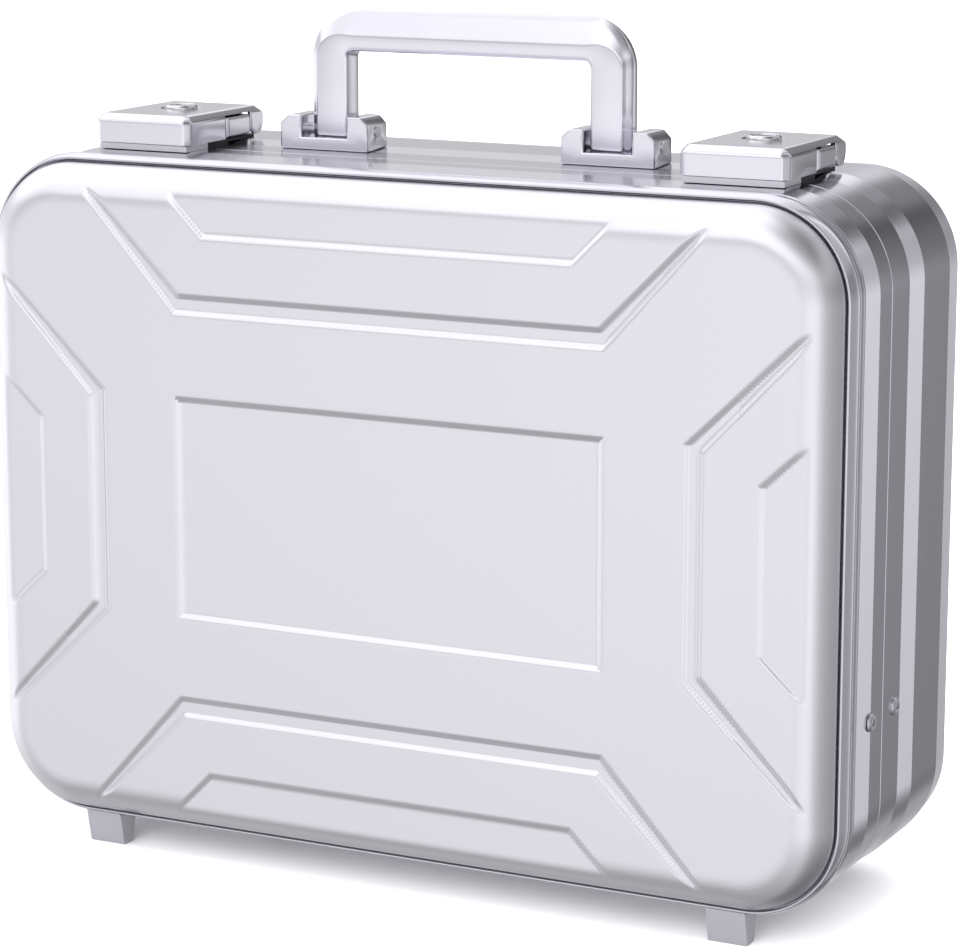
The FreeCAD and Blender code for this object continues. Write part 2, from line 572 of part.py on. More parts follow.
# ---------------------------------------------------------------- latches
lat_fore, lat_aft = seam - S.latch_fore, seam + S.latch_aft
lat_half, low = S.latch_wide / 2, S.latch_low
high = low + S.latch_tall
bevel, wall, roof = S.latch_bevel, S.latch_wall, high - S.latch_roof
pivot_y, pivot_z = lat_aft - S.barrel_round, low + S.barrel_round
key_y = seam + S.key_mid
cap_y, cap_half = seam + S.button_mid, S.button_long / 2
cap_low = low + 0.4
cap_high = cap_low + S.button_tall
ear_in, ear_out = Size(14.0), Size(17.0)
latch_pin = Size(1.5)
stop_half, stem_end, rail_top = Size(2.0), Size(12.0), Size(8.2)
key_floor = roof - 2.8
for side, sx in SIDES:
    at = (sx * latch_mid, 0.0, top_up)
    cover = new_body("latch_cover_" + side)
    plan = new_sketch(cover, "top", low)
    outline(plan, [(bevel - lat_half, lat_fore), (lat_half - bevel, lat_fore),
                   (lat_half, lat_fore + bevel), (lat_half, lat_aft), (-lat_half, lat_aft),
                   (-lat_half, lat_fore + bevel)])
    block = pad(cover, plan, S.latch_tall)
    top_cut = dress(cover, "Chamfer", block, lambda e: flat_at(e, "Z", high), bevel)
    dress(cover, "Fillet", top_cut,
          lambda e: flat_at(e, "Z", low) and flat_at(e, "Y", lat_aft), S.barrel_round)
    under = new_sketch(cover, "top", low)
    outline(under, [(bevel - lat_half, lat_fore + wall), (lat_half - bevel, lat_fore + wall),
                    (lat_half - wall, lat_fore + bevel), (lat_half - wall, lat_aft - wall),
                    (wall - lat_half, lat_aft - wall), (wall - lat_half, lat_fore + bevel)])
    pocket(cover, under, roof - low, back=True)
    window = new_sketch(cover, "side")
    ahead, beyond = cap_y - cap_half - 1.0, cap_y + cap_half + 1.0
    outline(window, [(ahead, low - 1.0), (beyond + 3.8, low - 1.0), (beyond + 3.0, low),
                     (beyond, low + 2.6), (beyond, cap_high + 1.0), (ahead, cap_high + 1.0)])
    pocket(cover, window, both=True)
    gates = new_sketch(cover, "top", low - 1.0)
    for end in (-1, 1):
        edges = sorted([end * (ear_in - 0.6), end * (ear_out + 0.6)])
        box_outline(gates, edges[0], edges[1], lat_aft - wall - 0.5, lat_aft + 1.0)
    pocket(cover, gates, pivot_z + 3.4 - low + 1.0, back=True)
    drill(cover, "top", high, [(0.0, key_y)], S.key_radius + 3.4, Size(0.7))
    drill(cover, "top", high, [(0.0, key_y)], S.key_radius + S.fit)
    drill(cover, "side", 0.0, [(pivot_y, pivot_z)], latch_pin, S.latch_wide - 2.0, both=True)
    node(cover, *at)

    pin = stud("latch_pin_" + side, [(latch_pin, 1.0 - lat_half, lat_half - 1.0)],
               at[0], pivot_y, top_up + pivot_z, "x")
    NODES.append(pin)

    hook = new_body("latch_hook_" + side)
    bent = new_sketch(hook, "side")
    outline(bent, [(lat_fore + 4.0, low + 0.4), (lat_fore + 8.0, low + 0.4),
                   (lat_fore + 8.0, low + 2.0), (lat_fore + 6.0, low + 2.0),
                   (lat_fore + 6.0, roof - 1.6), (lat_fore + 11.0, roof - 1.6),
                   (lat_fore + 11.0, roof), (lat_fore + 4.0, roof)])
    pad(hook, bent, Size(28.0), both=True)
    node(hook, *at)

    key = new_body("key_cylinder_" + side)
    head = new_sketch(key, "top", high - 0.7)
    circle(head, 0.0, key_y, S.key_radius + 1.3)
    pad(key, head, Size(1.3))
    barrel = new_sketch(key, "top", key_floor)
    circle(barrel, 0.0, key_y, S.key_radius)
    pad(key, barrel, high - 0.6 - key_floor)
    keyway = new_sketch(key, "top", high + 0.6)
    box_outline(keyway, Size(-0.7), Size(0.7), key_y - 3.6, key_y + 3.6)
    pocket(key, keyway, Size(3.2))
    node(key, *at)

    cam = new_body("key_cam_" + side)
    tail = new_sketch(cam, "top", key_floor - 1.2)
    round_box(tail, Size(-2.6), Size(2.6), key_y - 10.0, key_y + 2.6, Size(2.5))
    pad(cam, tail, Size(1.2))
    node(cam, *at)

    plate = new_body("latch_base_" + side)
    section = new_sketch(plate, "side")
    step_y = seam + S.base_flat
    outline(section, [(seam + 0.5, 0.0), (step_y, 0.0), (step_y, S.band_rise * 1.0),
                      (lat_aft - 1.5, S.band_rise * 1.0), (lat_aft - 1.5, S.plate_thick * 1.0),
                      (seam + 0.5, S.plate_thick * 1.0)])
    pad(plate, section, Size(40.0), both=True)
    for start in (ear_in, -ear_out):
        ear = new_sketch(plate, "side", start)
        outline(ear, [(pivot_y - 3.0, S.plate_thick - 0.5), (pivot_y + 3.0, S.plate_thick - 0.5),
                      (pivot_y + 3.0, pivot_z), (pivot_y, pivot_z + 3.0, Size(3.0)),
                      (pivot_y - 3.0, pivot_z, Size(3.0))])
        pad(plate, ear, ear_out - ear_in)
    rails = new_sketch(plate, "top", S.plate_thick - 0.3)
    for start, end in ((cap_y - 6.8, cap_y - 4.2), (cap_y + 4.2, cap_y + 6.8)):
        box_outline(rails, Size(-17.0), Size(17.0), start, end)
    pad(plate, rails, rail_top - S.plate_thick + 0.3)
    stop = new_sketch(plate, "top", S.plate_thick - 0.3)
    box_outline(stop, -stop_half, stop_half, cap_y - 4.8, cap_y + 4.8)
    pad(plate, stop, rail_top - S.plate_thick + 0.3)
    drill(plate, "side", 0.0, [(pivot_y, pivot_z)], latch_pin + S.fit, both=True)
    drill(plate, "top", -0.5, latch_screws, rivet_radius, S.plate_thick + 1.0, back=True)
    node(plate, *at)

    for which, turn in (("outer", 0.0 if sx > 0 else 180.0),
                        ("inner", 180.0 if sx > 0 else 0.0)):
        button = new_body("release_button_%s_%s" % (side, which))
        cap = new_sketch(button, "side", lat_half - 4.0)
        box_outline(cap, -cap_half, cap_half, cap_low, cap_high)
        plate_cap = pad(button, cap, 4.0 + S.button_proud)
        dress(button, "Chamfer", plate_cap,
              lambda e: flat_at(e, "X", lat_half + S.button_proud), 1.1)
        stem = new_sketch(button, "side", stem_end)
        box_outline(stem, Size(-4.0), Size(4.0), cap_low, rail_top - 0.6)
        pad(button, stem, lat_half - 3.8 - stem_end)
        node(button, at[0], cap_y, top_up, turn=turn)

    coils = []
    for facing in (-1, 1):
        name = "button_spring_%s_%d" % (side, facing + 1)
        helix = doc.addObject("Part::Helix", name + "_line")
        free = stem_end - S.button_travel - 0.4 - stop_half
        helix.Pitch, helix.Height, helix.Radius = 1.4, float(free), 1.6
        bind(helix, "Height", free)
        wire = doc.addObject("Part::Circle", name + "_wire")
        wire.Radius = 0.3
        wire.Placement = Placement(Vector(1.6, 0, 0), Rotation(Vector(1, 0, 0), 90))
        coil = doc.addObject("Part::Sweep", name)
        coil.Sections = [wire]
        coil.Spine = (helix, [])
        coil.Solid = True
        coil.Frenet = True
        coil.Placement = Placement(Vector(at[0] + facing * (stop_half + 0.2), cap_y,
                                          top_up + S.plate_thick + 2.9),
                                   Rotation(Vector(0, 1, 0), 90 * facing))
        bind(coil, "Placement.Base.x", at[0] + facing * (stop_half + 0.2))
        bind(coil, "Placement.Base.y", cap_y * 1.0)
        bind(coil, "Placement.Base.z", top_up + S.plate_thick + 2.9)
        coils.append(coil)
    group("button_springs_" + side, coils)

    strike = new_body("strike_plate_" + side)
    strip = new_sketch(strike, "top")
    box_outline(strip, Size(-22.0), Size(22.0), lat_fore + 1.5, seam - 0.6)
    pad(strike, strip, S.strike_thick)
    keeper = new_sketch(strike, "top", S.strike_thick)
    box_outline(keeper, Size(-15.5), Size(15.5), lat_fore + 3.0, lat_fore + 9.5)
    pocket(strike, keeper, S.strike_thick - 0.6)
    drill(strike, "top", -0.5, strike_screws, rivet_radius, S.strike_thick + 1.0, back=True)
    node(strike, *at)

# ---------------------------------------------------------------- hinges
hinge_y, barrel = seam * 1.0, S.knuckle_radius
leaf_low = S.foot_drop - S.leaf_thick
third = (S.hinge_wide - 1.2) / 6
hinge_pins = []
for side, sx in SIDES:
    half = S.hinge_wide / 2
    for name, sign in (("lid", -1.0), ("base", 1.0)):
        leaf = new_body("hinge_leaf_%s_%s" % (name, side))
        section = new_sketch(leaf, "side")
        if name == "lid":
            front = rim + bead_end + 3.6
            flat = rim + S.lid_deep - S.lid_flat
            slope = S.ramp_inset * (flat - front) / (flat - rim - bead_end - 3.2)
            outline(section, [(front, leaf_low), (hinge_y - 0.3, leaf_low),
                              (hinge_y - 0.3, S.foot_drop * 1.0), (flat, S.foot_drop * 1.0),
                              (front, S.foot_drop + slope)])
        else:
            back_end = hinge_y + S.base_flat - 0.2
            box_outline(section, hinge_y + 0.3, back_end, leaf_low, S.foot_drop * 1.0)
        pad(leaf, section, S.hinge_wide, both=True)
        spans = [(-third, third)] if name == "lid" else [(-half, -third - 0.4),
                                                          (third + 0.4, half)]
        rest = [(-half - 1.0, -third - 0.2), (third + 0.2, half + 1.0)]
        if name == "base":
            rest = [(-third - 0.2, third + 0.2)]
        for start, end in rest:
            relief = new_sketch(leaf, "side", end)
            circle(relief, hinge_y, axis_up, barrel + 0.4)
            pocket(leaf, relief, end - start)
        for start, end in spans:
            knuckle = new_sketch(leaf, "side", start)
            circle(knuckle, hinge_y, axis_up, barrel)
            pad(leaf, knuckle, end - start)
            web = new_sketch(leaf, "side", start)
            edges = sorted([hinge_y + sign * 0.3, hinge_y + sign * barrel])
            box_outline(web, edges[0], edges[1], axis_up, leaf_low + 0.5)
            pad(leaf, web, end - start)
        bore = S.hinge_pin + (S.fit if name == "lid" else flush)
        drill(leaf, "side", 0.0, [(hinge_y, axis_up)], bore, both=True)
        leaf_y = lid_leaf_y if name == "lid" else base_leaf_y
        drill(leaf, "top", leaf_low - 1.0, [(a, leaf_y) for a in leaf_rivets], rivet_radius,
              S.leaf_thick + 2.0, back=True)
        node(leaf, sx * hinge_mid)
    hinge_pins.append(stud("hinge_pin_" + side, [(S.hinge_pin, -half, half)],
                           sx * hinge_mid, hinge_y, axis_up, "x"))
group("hinge_pins", hinge_pins)

# ---------------------------------------------------------------- rivets and screws
head = Size(3.0)
kinds = {
    "hinge_rivets_lid": (lid_low, S.foot_drop, [(head, -S.leaf_thick - 0.9, -S.leaf_thick),
                         (rivet_radius, -S.leaf_thick, S.wall_ledge),
                         (head, S.wall_ledge, S.wall_ledge + 1.0)]),
    "hinge_rivets_base": (base_low, S.foot_drop, [(head, -S.leaf_thick - 0.9, -S.leaf_thick),
                          (rivet_radius, -S.leaf_thick, S.wall_thin),
                          (head, S.wall_thin, S.wall_thin + 1.0)]),
    "strike_rivets": (lid_top, top_up, [(head, -S.flange_inset - 1.0, -S.flange_inset),
                      (rivet_radius, -S.flange_inset, S.strike_thick)]),
    "top_screws": (base_top, top_up, [(head, -S.wall_thin - 1.6, -S.wall_thin),
                   (rivet_radius, -S.wall_thin, S.plate_thick)]),
}
for label, (spots, level, steps) in kinds.items():
    group(label, [stud("%s_%d" % (label, i), steps, a, b, level, "z")
                  for i, (a, b) in enumerate(spots)])

# ---------------------------------------------------------------- folding lid stays
stay_level = S.foot_drop + S.stay_up
knee_z = stay_level + root(S.stay_long * S.stay_long - S.stay_out * S.stay_out)
outer_face = half_wide - S.stay_layer
lid_layer = outer_face - S.stay_thick - S.stay_gap
layers = {"base": (outer_face, S.wall_thin), "lid": (lid_layer, S.wall_ledge)}
stay_round = S.stay_wide / 2
screws = {"lid": [], "base": []}
studs = {"lid": [], "base": []}


def link(body, start, y0, z0, y1, z1):
    """A flat bar with round ends between two pivot centres."""
    shape = new_sketch(body, "side", start)
    uy, uz = (y1 - y0) / S.stay_long, (z1 - z0) / S.stay_long
    r = stay_round
    outline(shape, [(y0 - uz * r, z0 + uy * r), (y0 - uy * r, z0 - uz * r, r),
                    (y0 + uz * r, z0 - uy * r, r), (y1 + uz * r, z1 - uy * r),
                    (y1 + uy * r, z1 + uz * r, r), (y1 - uz * r, z1 + uy * r, r)])
    return pad(body, shape, S.stay_thick)


for side, sx in SIDES:
    for half_name, (face, inside) in layers.items():
        inner = face - S.stay_thick
        start = inner if sx > 0 else -face
        arm = new_body("stay_%s_%s" % (half_name, side))
        link(arm, start, stay_y[half_name], stay_level, hinge_y, knee_z)
        drill(arm, "side", 0.0, [(stay_y[half_name], stay_level)], Size(3.0) + S.fit, both=True)
        knee_hole = Size(2.0) if half_name == "base" else Size(4.0)
        drill(arm, "side", 0.0, [(hinge_y, knee_z)], knee_hole, both=True)
        node(arm)
        spans = [(Size(5.0), face + 0.1, half_wide - inside), (Size(3.0), inner - 0.1, face + 0.1),
                 (Size(5.0), inner - 1.2, inner - 0.1)]
        if sx < 0:
            spans = [(r, -end, -start_x) for r, start_x, end in spans]
        post = stud("stay_stud_%s_%s" % (half_name, side), spans, Size(0.0),
                    stay_y[half_name], stay_level, "x")
        studs[half_name].append(post)
        shank = [(screw_radius, half_wide - inside, half_wide),
                 (Size(4.0), half_wide, half_wide + 1.6)]
        if sx < 0:
            shank = [(r, -end, -start_x) for r, start_x, end in shank]
        screws[half_name].append(stud("stay_screw_%s_%s" % (half_name, side), shank,
                                      Size(0.0), stay_y[half_name], stay_level, "x"))
    inner = lid_layer - S.stay_thick
    spans = [(Size(2.0), inner - 0.4, outer_face), (Size(5.4), inner - 1.6, inner - 0.4)]
    if sx < 0:
        spans = [(r, -end, -start_x) for r, start_x, end in spans]
    knee = stud("stay_knee_" + side, spans, Size(0.0), hinge_y, knee_z, "x")
    NODES.append(knee)
for half_name in ("lid", "base"):
    group("stay_studs_" + half_name, studs[half_name])
    group("stay_screws_" + half_name, screws[half_name])

# ---------------------------------------------------------------- feet
sole = rim + 3.3
for side, sx in SIDES:
    for half_name in ("lid", "base"):
        foot = new_body("foot_%s_%s" % (half_name, side))
        section = new_sketch(foot, "side")
        points = [(sole, 0.0), (sole + S.foot_sole, 0.0)]
        if half_name == "lid":
            points += [(rim + bead_end + 1.9, S.foot_drop + S.groove_inset),
                       (rim + bead_end + 0.6, S.foot_drop + S.groove_inset),
                       (rim + bead_end, S.foot_drop + S.rim_inset),
                       (rim * 1.0, S.foot_drop + S.rim_inset, -S.bead_radius)]
        else:
            lip = S.rim_inset - 0.8
            slope = (S.band_rise + lip) / (S.rear_ramp - 1.6)
            points += [(rim + S.foot_top, S.foot_drop + lip - slope * (S.foot_top - 1.6)),
                       (rim + 1.6, S.foot_drop + lip), (rim * 1.0, S.foot_drop + S.rim_inset)]
        outline(section, points)
        pad(foot, section, S.foot_wide, both=True)
        node(foot, sx * foot_mid, 0.0, 0.0, turn=0.0 if half_name == "lid" else 180.0)

# ---------------------------------------------------------------- foam
foam_x, foam_z = half_wide - S.foam_side, half_tall - S.foam_edge
foam_back = depth / 2 - S.sheet_thick - S.recess
foam_corner = S.corner_round - S.foam_edge


def foam_block(label, face, back):
    """A foam slab from its open face to the shell; face and back are distances along Y."""
    body = new_body(label)
    toward = 1 if back > face else -1
    plan = new_sketch(body, "front", -face)
    round_box(plan, -foam_x, foam_x, -foam_z, foam_z, foam_corner)
    block = pad(body, plan, toward * (back - face), back=toward > 0)
    dress(body, "Fillet", block, lambda e: flat_at(e, "Y", back), Size(16.0))
    return body


lid_foam = foam_block("lid_foam", seam - S.lid_foam_back, -foam_back)
node(lid_foam, 0.0, 0.0, centre_up)

base_foam = foam_block("base_foam", seam + S.base_foam_front, foam_back)
wells = {  # left, right, bottom, top, depth of each pocket, as shares of the foam block
    "aircraft": (-0.86, 0.26, -0.14, 0.82, 62.0),
    "controller": (0.40, 0.88, -0.14, 0.82, 50.0),
    "battery_a": (-0.86, -0.56, -0.82, -0.32, 52.0),
    "battery_b": (-0.46, -0.16, -0.82, -0.32, 52.0),
    "battery_c": (-0.06, 0.24, -0.82, -0.32, 52.0),
    "charger": (0.40, 0.88, -0.82, -0.32, 45.0),
}
for name, (x0, x1, z0, z1, deep) in wells.items():
    mouth = new_sketch(base_foam, "front", -(seam + S.base_foam_front))
    round_box(mouth, foam_x * x0, foam_x * x1, foam_z * z0, foam_z * z1, Size(9.0))
    pocket(base_foam, mouth, Size(deep))
node(base_foam, 0.0, 0.0, centre_up)


# ---------------------------------------------------------------- write
doc.recompute()
for thing in doc.Objects:
    if "Invalid" in thing.State or "Error" in thing.State:
        raise RuntimeError("failed: %s %s" % (thing.Name, thing.State))
for thing in NODES:
    if thing.Shape.isNull() or not thing.Shape.isValid():
        raise RuntimeError("bad shape: " + thing.Label)
for thing in NODES:
    thing.Shape.exportStep("parts/%s.step" % thing.Label)
    print("%-28s solids %d volume %.1f" % (thing.Label, len(thing.Shape.Solids), thing.Shape.Volume))
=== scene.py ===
"""Finished surfaces of a hard aluminium carrying case for a small drone, built round its frame."""
import json
import math

import bmesh
import bpy
import numpy as np
from bpy.props import FloatProperty, PointerProperty, StringProperty
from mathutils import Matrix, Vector
from mathutils.geometry import intersect_point_line

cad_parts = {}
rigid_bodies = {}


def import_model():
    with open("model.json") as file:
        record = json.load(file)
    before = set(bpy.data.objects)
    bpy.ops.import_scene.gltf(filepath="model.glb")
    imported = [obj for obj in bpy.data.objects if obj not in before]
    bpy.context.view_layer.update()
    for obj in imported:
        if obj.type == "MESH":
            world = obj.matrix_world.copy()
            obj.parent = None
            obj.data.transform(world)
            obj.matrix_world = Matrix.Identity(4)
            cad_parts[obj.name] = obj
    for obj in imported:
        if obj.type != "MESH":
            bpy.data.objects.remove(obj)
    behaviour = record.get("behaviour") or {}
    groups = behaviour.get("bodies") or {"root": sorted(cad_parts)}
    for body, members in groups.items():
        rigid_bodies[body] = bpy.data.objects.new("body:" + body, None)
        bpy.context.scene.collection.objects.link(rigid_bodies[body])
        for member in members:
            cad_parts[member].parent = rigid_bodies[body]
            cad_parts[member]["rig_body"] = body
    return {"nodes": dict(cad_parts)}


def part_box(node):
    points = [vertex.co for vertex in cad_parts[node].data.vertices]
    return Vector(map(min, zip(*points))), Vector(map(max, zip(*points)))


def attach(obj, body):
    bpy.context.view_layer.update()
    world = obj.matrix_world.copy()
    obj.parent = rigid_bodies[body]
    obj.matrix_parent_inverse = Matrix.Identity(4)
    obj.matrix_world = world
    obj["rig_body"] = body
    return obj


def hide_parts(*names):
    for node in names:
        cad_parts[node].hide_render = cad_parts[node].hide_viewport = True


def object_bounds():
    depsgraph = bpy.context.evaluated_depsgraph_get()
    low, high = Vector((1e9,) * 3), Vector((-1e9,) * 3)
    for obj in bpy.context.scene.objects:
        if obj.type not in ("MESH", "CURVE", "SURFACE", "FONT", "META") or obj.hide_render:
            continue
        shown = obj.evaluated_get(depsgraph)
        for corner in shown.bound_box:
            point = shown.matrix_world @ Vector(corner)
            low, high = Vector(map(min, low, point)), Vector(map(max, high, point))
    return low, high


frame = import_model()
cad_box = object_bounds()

bl_info = {
    "name": "Drone carrying case",
    "version": (1, 0, 0),
    "blender": (4, 5, 0),
    "location": "3D View > Sidebar > Case",
    "description": "Builds the finished shells, frames, fittings and foam of a hard carrying case",
    "category": "Object",
}

MM = 0.001
SIDES = ("left", "right")
HALVES = ("lid", "base")
QUARTER = math.pi / 2.0
SHARP_CORNER = 24.0     # degrees between two faces, from which their edge is rounded
FLAT_ANGLE = 0.6        # degrees between two faces, below which they are one flat face
SAME_POINT = 0.002 * MM


def length(name, description, millimetres):
    """A length that a user may change, kept in metres."""
    return FloatProperty(name=name, description=description, default=millimetres * MM,
                         unit="LENGTH", precision=4)


def colour(name, description, hexadecimal):
    """An sRGB colour that a user may change, kept as a hex value."""
    return StringProperty(name=name, description=description, default=hexadecimal)


# ---------------------------------------------------------------- sizes and colours
class CaseShellSizes(bpy.types.PropertyGroup):
    corner: length("Corner", "Radius of the shell's corners seen from the front", 39.4)
    edge_round: length("Edge round", "Radius of the soft edge round the face", 18.0)
    recess: length("Recess", "Depth of the pressed channels", 1.8)
    wall: length("Wall", "Width of a channel's sloping wall", 3.2)
    blend: length("Blend", "Softness where a channel runs out over the edge", 1.0)
    back: length("Back", "Distance from the face to the back of the pressed sheet", 3.3)
    sheet: length("Sheet", "Thickness of the sheet at the skirt", 1.5)
    grid: length("Grid", "Spacing of the mesh over the face", 1.2)
    label_x: length("Label half width", "Half width of the sunk label field", 100.5)
    label_z: length("Label half height", "Half height of the sunk label field", 49.25)
    channel_x: length("Side channel", "From the centre to the side channels' inner wall", 134.7)
    channel_z: length("Top channel", "From the centre to the top channels' inner wall", 83.0)
    channel_wide_x: length("Side channel width", "Width of the side channels", 9.2)
    channel_wide_z: length("Top channel width", "Width of the top channels", 10.3)
    step_x: length("Side step", "From the centre to the sunk fields at the sides", 166.7)
    step_z: length("Top step", "From the centre to the sunk fields at top and bottom", 116.0)


class CaseFrameSizes(bpy.types.PropertyGroup):
    corner: length("Corner", "Radius of the frame's corners, at its outer flats", 42.0)
    skirt: length("Skirt inset", "How far the shell's skirt lies inside the outer flats", 2.6)
    skirt_deep: length("Skirt depth", "How far the shell's skirt reaches into the frame", 20.0)
    lip_gap: length("Lip gap", "Width of the dark gap between shell and frame", 0.45)
    lip_deep: length("Lip gap depth", "Depth of the gap between shell and frame", 3.0)
    rim: length("Rim inset", "How far the rim lies inside the outer flats", 1.2)
    bead: length("Bead depth", "Depth of the rounded bead along the lid's rim", 12.6)
    bead_rise: length("Bead rise", "How far the bead stands above the rim", 1.5)
    groove: length("Groove inset", "How far the groove lies inside the outer flats", 1.6)
    ramp: length("Ramp inset", "How far the lid's ramp starts inside the outer flats", 0.9)
    lid_flat: length("Lid flat", "Depth of the lid's flat band next to the seam", 14.0)
    base_flat: length("Base flat", "Depth of the base's flat band next to the seam", 20.0)
    rise: length("Band rise", "How far the base's wide band stands out", 1.0)
    ramp_deep: length("Ramp depth", "Depth of the base's front ramp", 15.0)
    rear_ramp: length("Rear ramp", "Depth of the base's rear ramp", 16.0)
    ledge: length("Ledge", "Thickness of the wall behind the skirt", 4.1)
    thin: length("Thin wall", "Thickness of the base's side wall", 2.4)
    flange: length("Flange", "Thickness of the wall at the seam", 6.8)
    lid_flange: length("Lid flange", "How far the lid's thick wall reaches from the seam", 6.0)
    base_flange: length("Base flange", "How far the base's thick wall reaches from it", 6.5)
    slope: length("Slope", "Length of the slopes between thick and thin walls", 2.0)
    shoulder: length("Shoulder", "How far the wall behind the skirt reaches past it", 4.0)
    lip: length("Lip", "Height of the bevel along the base's rim", 0.8)
    groove_wide: length("Groove width", "Width of the lid's groove, with its slopes", 3.2)
    groove_slope: length("Groove slope", "Width of each of the groove's slopes", 0.6)
    tongue: length("Tongue inset", "From the outer flats to the lid's tongue", 2.7)
    tongue_thick: length("Tongue thickness", "Thickness of the lid's tongue", 1.6)
    tongue_long: length("Tongue length", "How far the tongue passes the seam", 2.2)
    tongue_room: length("Tongue room", "Clearance on each side of the tongue", 0.6)
    channel: length("Channel depth", "Depth of the channel that holds the seal", 4.5)
    seam_gap: length("Seam gap", "Gap between the two frames", 0.4)
    seam_edge: length("Seam edge", "Bevel of the two edges that meet at the seam", 0.2)
    edge: length("Edge", "Rounding of the extrusion's edges", 0.35)


class CaseHandleSizes(bpy.types.PropertyGroup):
    leg_wide: length("Leg width", "Width of the handle's legs", 18.5)
    grip_tall: length("Grip height", "Height of the grip", 19.0)
    inner_round: length("Inner round", "Radius of the opening's corners", 3.0)
    leg_crease: length("Leg crease", "From the inner edge to the bevel on the legs", 15.0)
    grip_crease: length("Grip crease", "From the inner edge to the bevel on the grip", 6.8)
    leg_bevel: length("Leg bevel", "How far the legs' outer bevel falls back", 1.4)
    grip_bevel: length("Grip bevel", "How far the grip's bevel falls back", 3.6)


class CaseFittingSizes(bpy.types.PropertyGroup):
    bracket_edge: length("Bracket edge", "Rounding of the handle brackets' edges", 0.9)
    cover_edge: length("Cover edge", "Rounding of the latch covers' edges", 0.9)
    button_edge: length("Button edge", "Rounding of the release buttons' edges", 0.3)
    foot_edge: length("Foot edge", "Rounding of the feet's edges", 0.5)
    stamped_edge: length("Stamped edge", "Rounding of stamped steel parts", 0.15)
    socket: length("Socket", "Half the width of the screws' hexagon socket", 1.5)
    key_rise: length("Key rise", "How far the key cylinder's ring stands up", 1.5)
    key_flange: length("Key flange", "Height of the key cylinder's flange", 0.6)
    keyway_long: length("Keyway length", "Length of the keyhole", 6.6)
    keyway_wide: length("Keyway width", "Width of the keyhole", 1.4)
    keyway_deep: length("Keyway depth", "Depth of the keyhole", 2.5)
    screw_tall: length("Screw head", "Height of the domed screw heads", 1.6)
    screw_shank: length("Screw shank", "Visible length of the screws' shanks", 2.5)
    foam_edge: length("Foam edge", "Rounding of the cut foam's edges", 1.6)
    foam_pitch: length("Foam pitch", "Distance between the peaks of the lid's foam", 26.0)
    foam_wave: length("Foam wave", "Height of the peaks of the lid's foam", 13.0)
    foam_corner: length("Foam corner", "Radius of the lid foam's corners", 34.6)
    foam_rounds: length("Foam front", "Rounding of the lid foam's front edge", 5.0)
    foam_back: length("Foam back", "Rounding of the lid foam's back edge", 16.0)
    foam_fade: length("Foam margin", "Width over which the peaks start from the outline", 9.0)
    foam_grid: length("Foam grid", "Spacing of the mesh over the lid's foam", 2.0)


class CaseColours(bpy.types.PropertyGroup):
    shell: colour("Shell", "Blasted aluminium of the pressed shells", "#E6E5EA")
    # Frame flats and frame facets are one brushed metal: the darker flats are painted shade, and the
    # lighter facets and bead are painted highlight.
    flat: colour("Frame flats", "Darker copy of the frames' brushed metal on their flats, painted shade", "#CFCED6")
    facet: colour("Frame facets", "Lighter copy of the frames' brushed metal on their facets and bead, painted highlight", "#E2E1E9")
    casting: colour("Castings", "Satin finish of the handle, brackets and latches", "#DEDDE4")
    steel: colour("Steel", "Zinc-plated steel of the small parts", "#D6D6DA")
    chrome: colour("Chrome", "Plating of the key cylinders", "#D6D7DA")
    foot: colour("Feet", "Silver-grey moulded plastic of the feet", "#A3A2A8")
    inner: colour("Latch bases", "Black moulded plastic of the latch bases", "#232327")
    rubber: colour("Seal", "Black rubber of the seal", "#17171A")
    foam: colour("Foam", "Charcoal foam of the pads", "#222328")
    floor: colour("Floor", "Pale floor", "#F4F4F6")


SETTINGS = {"case_shell": CaseShellSizes, "case_frame": CaseFrameSizes,
            "case_handle": CaseHandleSizes, "case_fittings": CaseFittingSizes,
            "case_colours": CaseColours}


# ---------------------------------------------------------------- materials
def linear(hexadecimal):
    """An sRGB hex value as linear red, green, blue and alpha."""
    parts = [int(hexadecimal[i:i + 2], 16) / 255.0 for i in (1, 3, 5)]
    return [c / 12.92 if c <= 0.04045 else ((c + 0.055) / 1.055) ** 2.4 for c in parts] + [1.0]


def add_node(tree, kind, settings=None, links=None):
    """Adds a node, sets its own properties and its sockets' values, and links its inputs."""
    made = tree.nodes.new(kind)
    for key, value in (settings or {}).items():
        if isinstance(key, int) or key in made.inputs:
            made.inputs[key].default_value = value
        else:
            setattr(made, key, value)
    for socket, source in (links or {}).items():
        tree.links.new(source, made.inputs[socket])
    return made


def new_material(name, hexadecimal, **sockets):
    """A material whose shader holds its colour and its constant values."""
    made = bpy.data.materials.new(name)
    made.use_nodes = True
    shader = made.node_tree.nodes["Principled BSDF"]
    shader.inputs["Base Color"].default_value = linear(hexadecimal)
    for socket, value in sockets.items():
        shader.inputs[socket.replace("_", " ")].default_value = value
    made.diffuse_color = linear(hexadecimal)
    return made, made.node_tree, shader


def tone(tree, shader, value, hexadecimal, spread):
    """Lets a pattern lighten and darken the base colour by the given share."""
    base = linear(hexadecimal)
    ramp = add_node(tree, "ShaderNodeValToRGB", links={"Fac": value})
    for element, factor in zip(ramp.color_ramp.elements, (1.0 - spread, 1.0 + spread)):
        element.color = [min(c * factor, 1.0) for c in base[:3]] + [1.0]
    tree.links.new(ramp.outputs["Color"], shader.inputs["Base Color"])


def rough_between(tree, shader, value, low, high):
    """Lets a pattern move the roughness between two values."""
    span = add_node(tree, "ShaderNodeMapRange", {"To Min": low, "To Max": high}, {"Value": value})
    tree.links.new(span.outputs["Result"], shader.inputs["Roughness"])


def bump(tree, shader, height, strength, distance):
    """Feeds a pattern to the shader as fine relief; distance is its height in metres."""
    made = add_node(tree, "ShaderNodeBump", {"Strength": strength, "Distance": distance},
                    {"Height": height})
    tree.links.new(made.outputs["Normal"], shader.inputs["Normal"])


